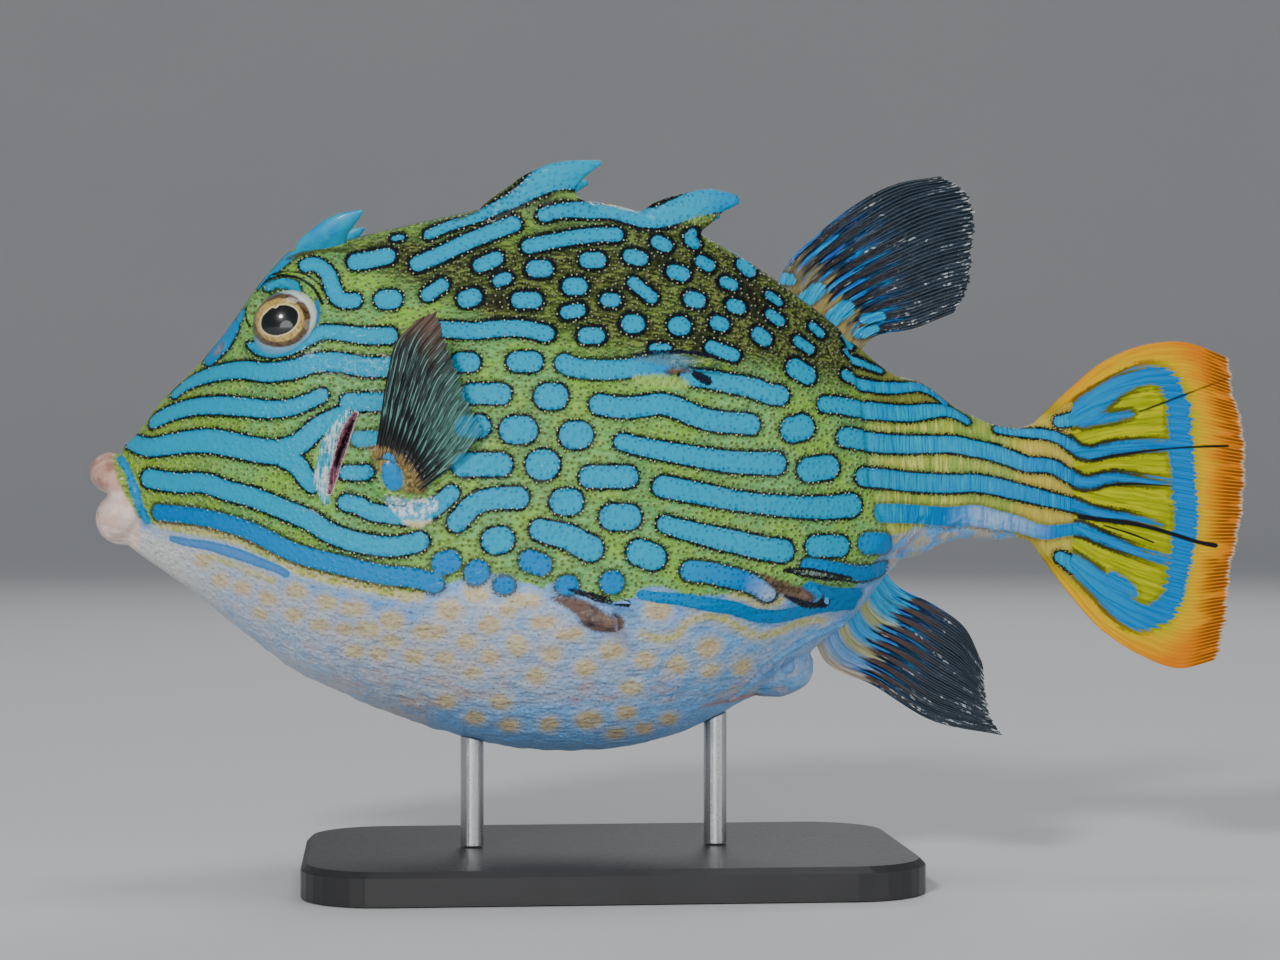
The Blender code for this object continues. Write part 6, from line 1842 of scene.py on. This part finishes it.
def eye_material():
    s = Shader("eye")
    wave = s.spread(s.noise(0.8, 2.0), 0.36, -0.18)
    pupil = s.plus(s.value("pupil"), s.times(wave, 0.4))
    iris, brown = s.plus(s.value("iris"), wave), s.plus(s.value("brown"), wave)
    flecks = s.noise(0.5, 3.0)
    gold = s.mix(s.step(flecks, 0.42, 0.62), (0.58, 0.42, 0.10), (0.34, 0.22, 0.05))
    gold = s.mix(s.step(pupil, 0.50, 0.12), gold, (0.74, 0.64, 0.36))
    dark = s.mix(s.step(flecks, 0.4, 0.6), (0.050, 0.026, 0.012), (0.15, 0.085, 0.030))
    # Ring round the iris: pale blue below, turning pale toward the top with a painted highlight.
    rim = s.mix(s.step(s.value("eye_up"), -2.0, 2.0), (0.20, 0.42, 0.60), (0.66, 0.72, 0.66))
    colour = s.mix(s.step(brown, -0.15, 0.25), dark, rim)
    colour = s.mix(s.step(iris, 0.15, -0.15), colour, gold)
    colour = s.mix(s.step(pupil, 0.14, 0.0), colour, (0.003, 0.006, 0.006))
    s.set(Base_Color=colour, Roughness=0.3, Coat_Weight=1.0, Coat_Roughness=0.01, Specular_IOR_Level=0.3)
    return s.material


def horn_material():
    s = Shader("horn")
    clouds = s.noise(2.2, 3.0)
    blue = s.mix(s.step(clouds, 0.4, 0.65), (0.0, 0.36, 0.58), (0.0, 0.27, 0.56))
    s.set(Base_Color=blue, Roughness=0.36, Coat_Weight=0.25, Coat_Roughness=0.12, Specular_IOR_Level=0.25)
    s.set(Normal=s.bump(s.noise(0.8, 3.0), 0.08))
    return s.material


def dark_paint():
    s = Shader("satin_black_paint")
    tone = s.noise(14.0, 3.0)
    s.set(Base_Color=s.mix(tone, (0.012, 0.012, 0.013), (0.028, 0.028, 0.030)))
    s.set(Roughness=s.math("MULTIPLY_ADD", s.noise(0.8, 3.0), 0.16, 0.30))
    s.set(Normal=s.bump(s.noise(0.35, 2.0), 0.015))
    return s.material


def brushed_rod():
    s = Shader("brushed_steel")
    brush = s.noise(0.5, 2.0, stretch=(1.0, 1.0, 14.0))
    s.set(Base_Color=s.mix(brush, (0.42, 0.43, 0.45), (0.66, 0.66, 0.67)), Metallic=1.0)
    s.set(Roughness=s.math("MULTIPLY_ADD", brush, 0.25, 0.18), Normal=s.bump(brush, 0.02))
    return s.material


def paint_node(name, material):
    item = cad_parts[name]
    item.data.materials.clear()
    item.data.materials.append(material)


# Stage, lights and camera


# In metres
FLOOR_RINGS = (0.02, 0.3, 0.8, 1.3, 1.5)
FLOOR_DROP = 0.0002
BEND_RADIUS = 0.9
WALL_TOP = 2.6
LAMP_AIM = (-0.01, 0.0, 0.06)
# Lamps: name, place, aim, size, power, colour.
LAMPS = (
    ("key", (-0.52, -1.05, 0.72), LAMP_AIM, 0.22, 9.8, (1.0, 0.98, 0.95)),
    ("fill", (0.85, -0.80, 0.30), LAMP_AIM, 0.7, 2.6, (1.0, 1.0, 1.0)),
    ("low", (-0.10, -0.80, 0.02), (-0.01, 0.0, 0.04), 0.6, 3.2, (1.0, 1.0, 1.0)),
    ("top", (0.1, 0.1, 1.3), LAMP_AIM, 0.6, 3.4, (1.0, 1.0, 1.0)),
    ("rim", (0.2, 1.0, 0.8), LAMP_AIM, 0.5, 2.8, (1.0, 1.0, 1.0)),
)
AIR_COLOUR = (0.80, 0.84, 0.90, 1.0)
AIR_STRENGTH = 0.20


def make_stage():
    """Pale floor that curves up into a wall all round."""
    bend, sides = 12, 96
    reach = FLOOR_RINGS[-1]
    profile = [(radius, 0.0) for radius in FLOOR_RINGS]
    for k in range(1, bend + 1):
        angle = math.pi / 2 * k / bend
        profile.append((reach + BEND_RADIUS * math.sin(angle), BEND_RADIUS * (1 - math.cos(angle))))
    profile.append((reach + BEND_RADIUS, WALL_TOP))
    points, faces = [], []
    for r, z in profile:
        for k in range(sides):
            angle = 2 * math.pi * k / sides
            points.append((r * math.cos(angle), r * math.sin(angle), z))
    for row in range(len(profile) - 1):
        for k in range(sides):
            j = (k + 1) % sides
            a = row * sides
            faces.append((a + k, a + sides + k, a + sides + j, a + j))
    faces.append(tuple(range(sides)))
    mesh = bpy.data.meshes.new("studio_floor")
    mesh.from_pydata(points, [], faces)
    mesh.shade_smooth()
    floor = bpy.data.objects.new("studio_floor", mesh)
    floor.location.z = -FLOOR_DROP
    bpy.context.scene.collection.objects.link(floor)
    s = Shader("pale_floor")
    s.set(Base_Color=s.mix(s.noise(300.0, 2.0), (0.66, 0.67, 0.69), (0.70, 0.71, 0.72)), Roughness=0.8)
    mesh.materials.append(s.material)


def area_light(name, place, aim, size, power, colour):
    data = bpy.data.lights.new(name, "AREA")
    data.shape = "DISK"
    data.size = size
    data.energy = power
    data.color = colour
    lamp = bpy.data.objects.new(name, data)
    lamp.location = place
    lamp.rotation_mode = "QUATERNION"
    lamp.rotation_quaternion = (Vector(aim) - Vector(place)).to_track_quat("-Z", "Y")
    bpy.context.scene.collection.objects.link(lamp)


def make_lights():
    for lamp in LAMPS:
        area_light(*lamp)
    world = bpy.data.worlds.new("studio")
    bpy.context.scene.world = world
    world.use_nodes = True
    background = world.node_tree.nodes["Background"]
    background.inputs["Color"].default_value = AIR_COLOUR
    background.inputs["Strength"].default_value = AIR_STRENGTH


def make_camera():
    data = bpy.data.cameras.new("camera")
    data.sensor_width = 36.0
    data.lens = CAMERA_LENS
    data.clip_start = 0.02
    data.clip_end = 20.0
    camera = bpy.data.objects.new("camera", data)
    lift = Vector((0.0, 0.0, AXIS_HEIGHT))
    place, aim = Vector(CAMERA) + lift, Vector(CAMERA_AIM) + lift
    camera.location = place * MM
    camera.rotation_mode = "QUATERNION"
    camera.rotation_quaternion = (aim - place).to_track_quat("-Z", "Y")
    bpy.context.scene.collection.objects.link(camera)
    bpy.context.scene.camera = camera


def main():
    make_camera()
    make_stage()
    make_lights()
    make_skin()
    make_fins()
    for label, side in SIDES:
        make_eye(label, side)
        make_horn(label, side)
    paint_node("stand_base", dark_paint())
    for name in ("stand_rod_front", "stand_rod_rear"):
        paint_node(name, brushed_rod())


main()
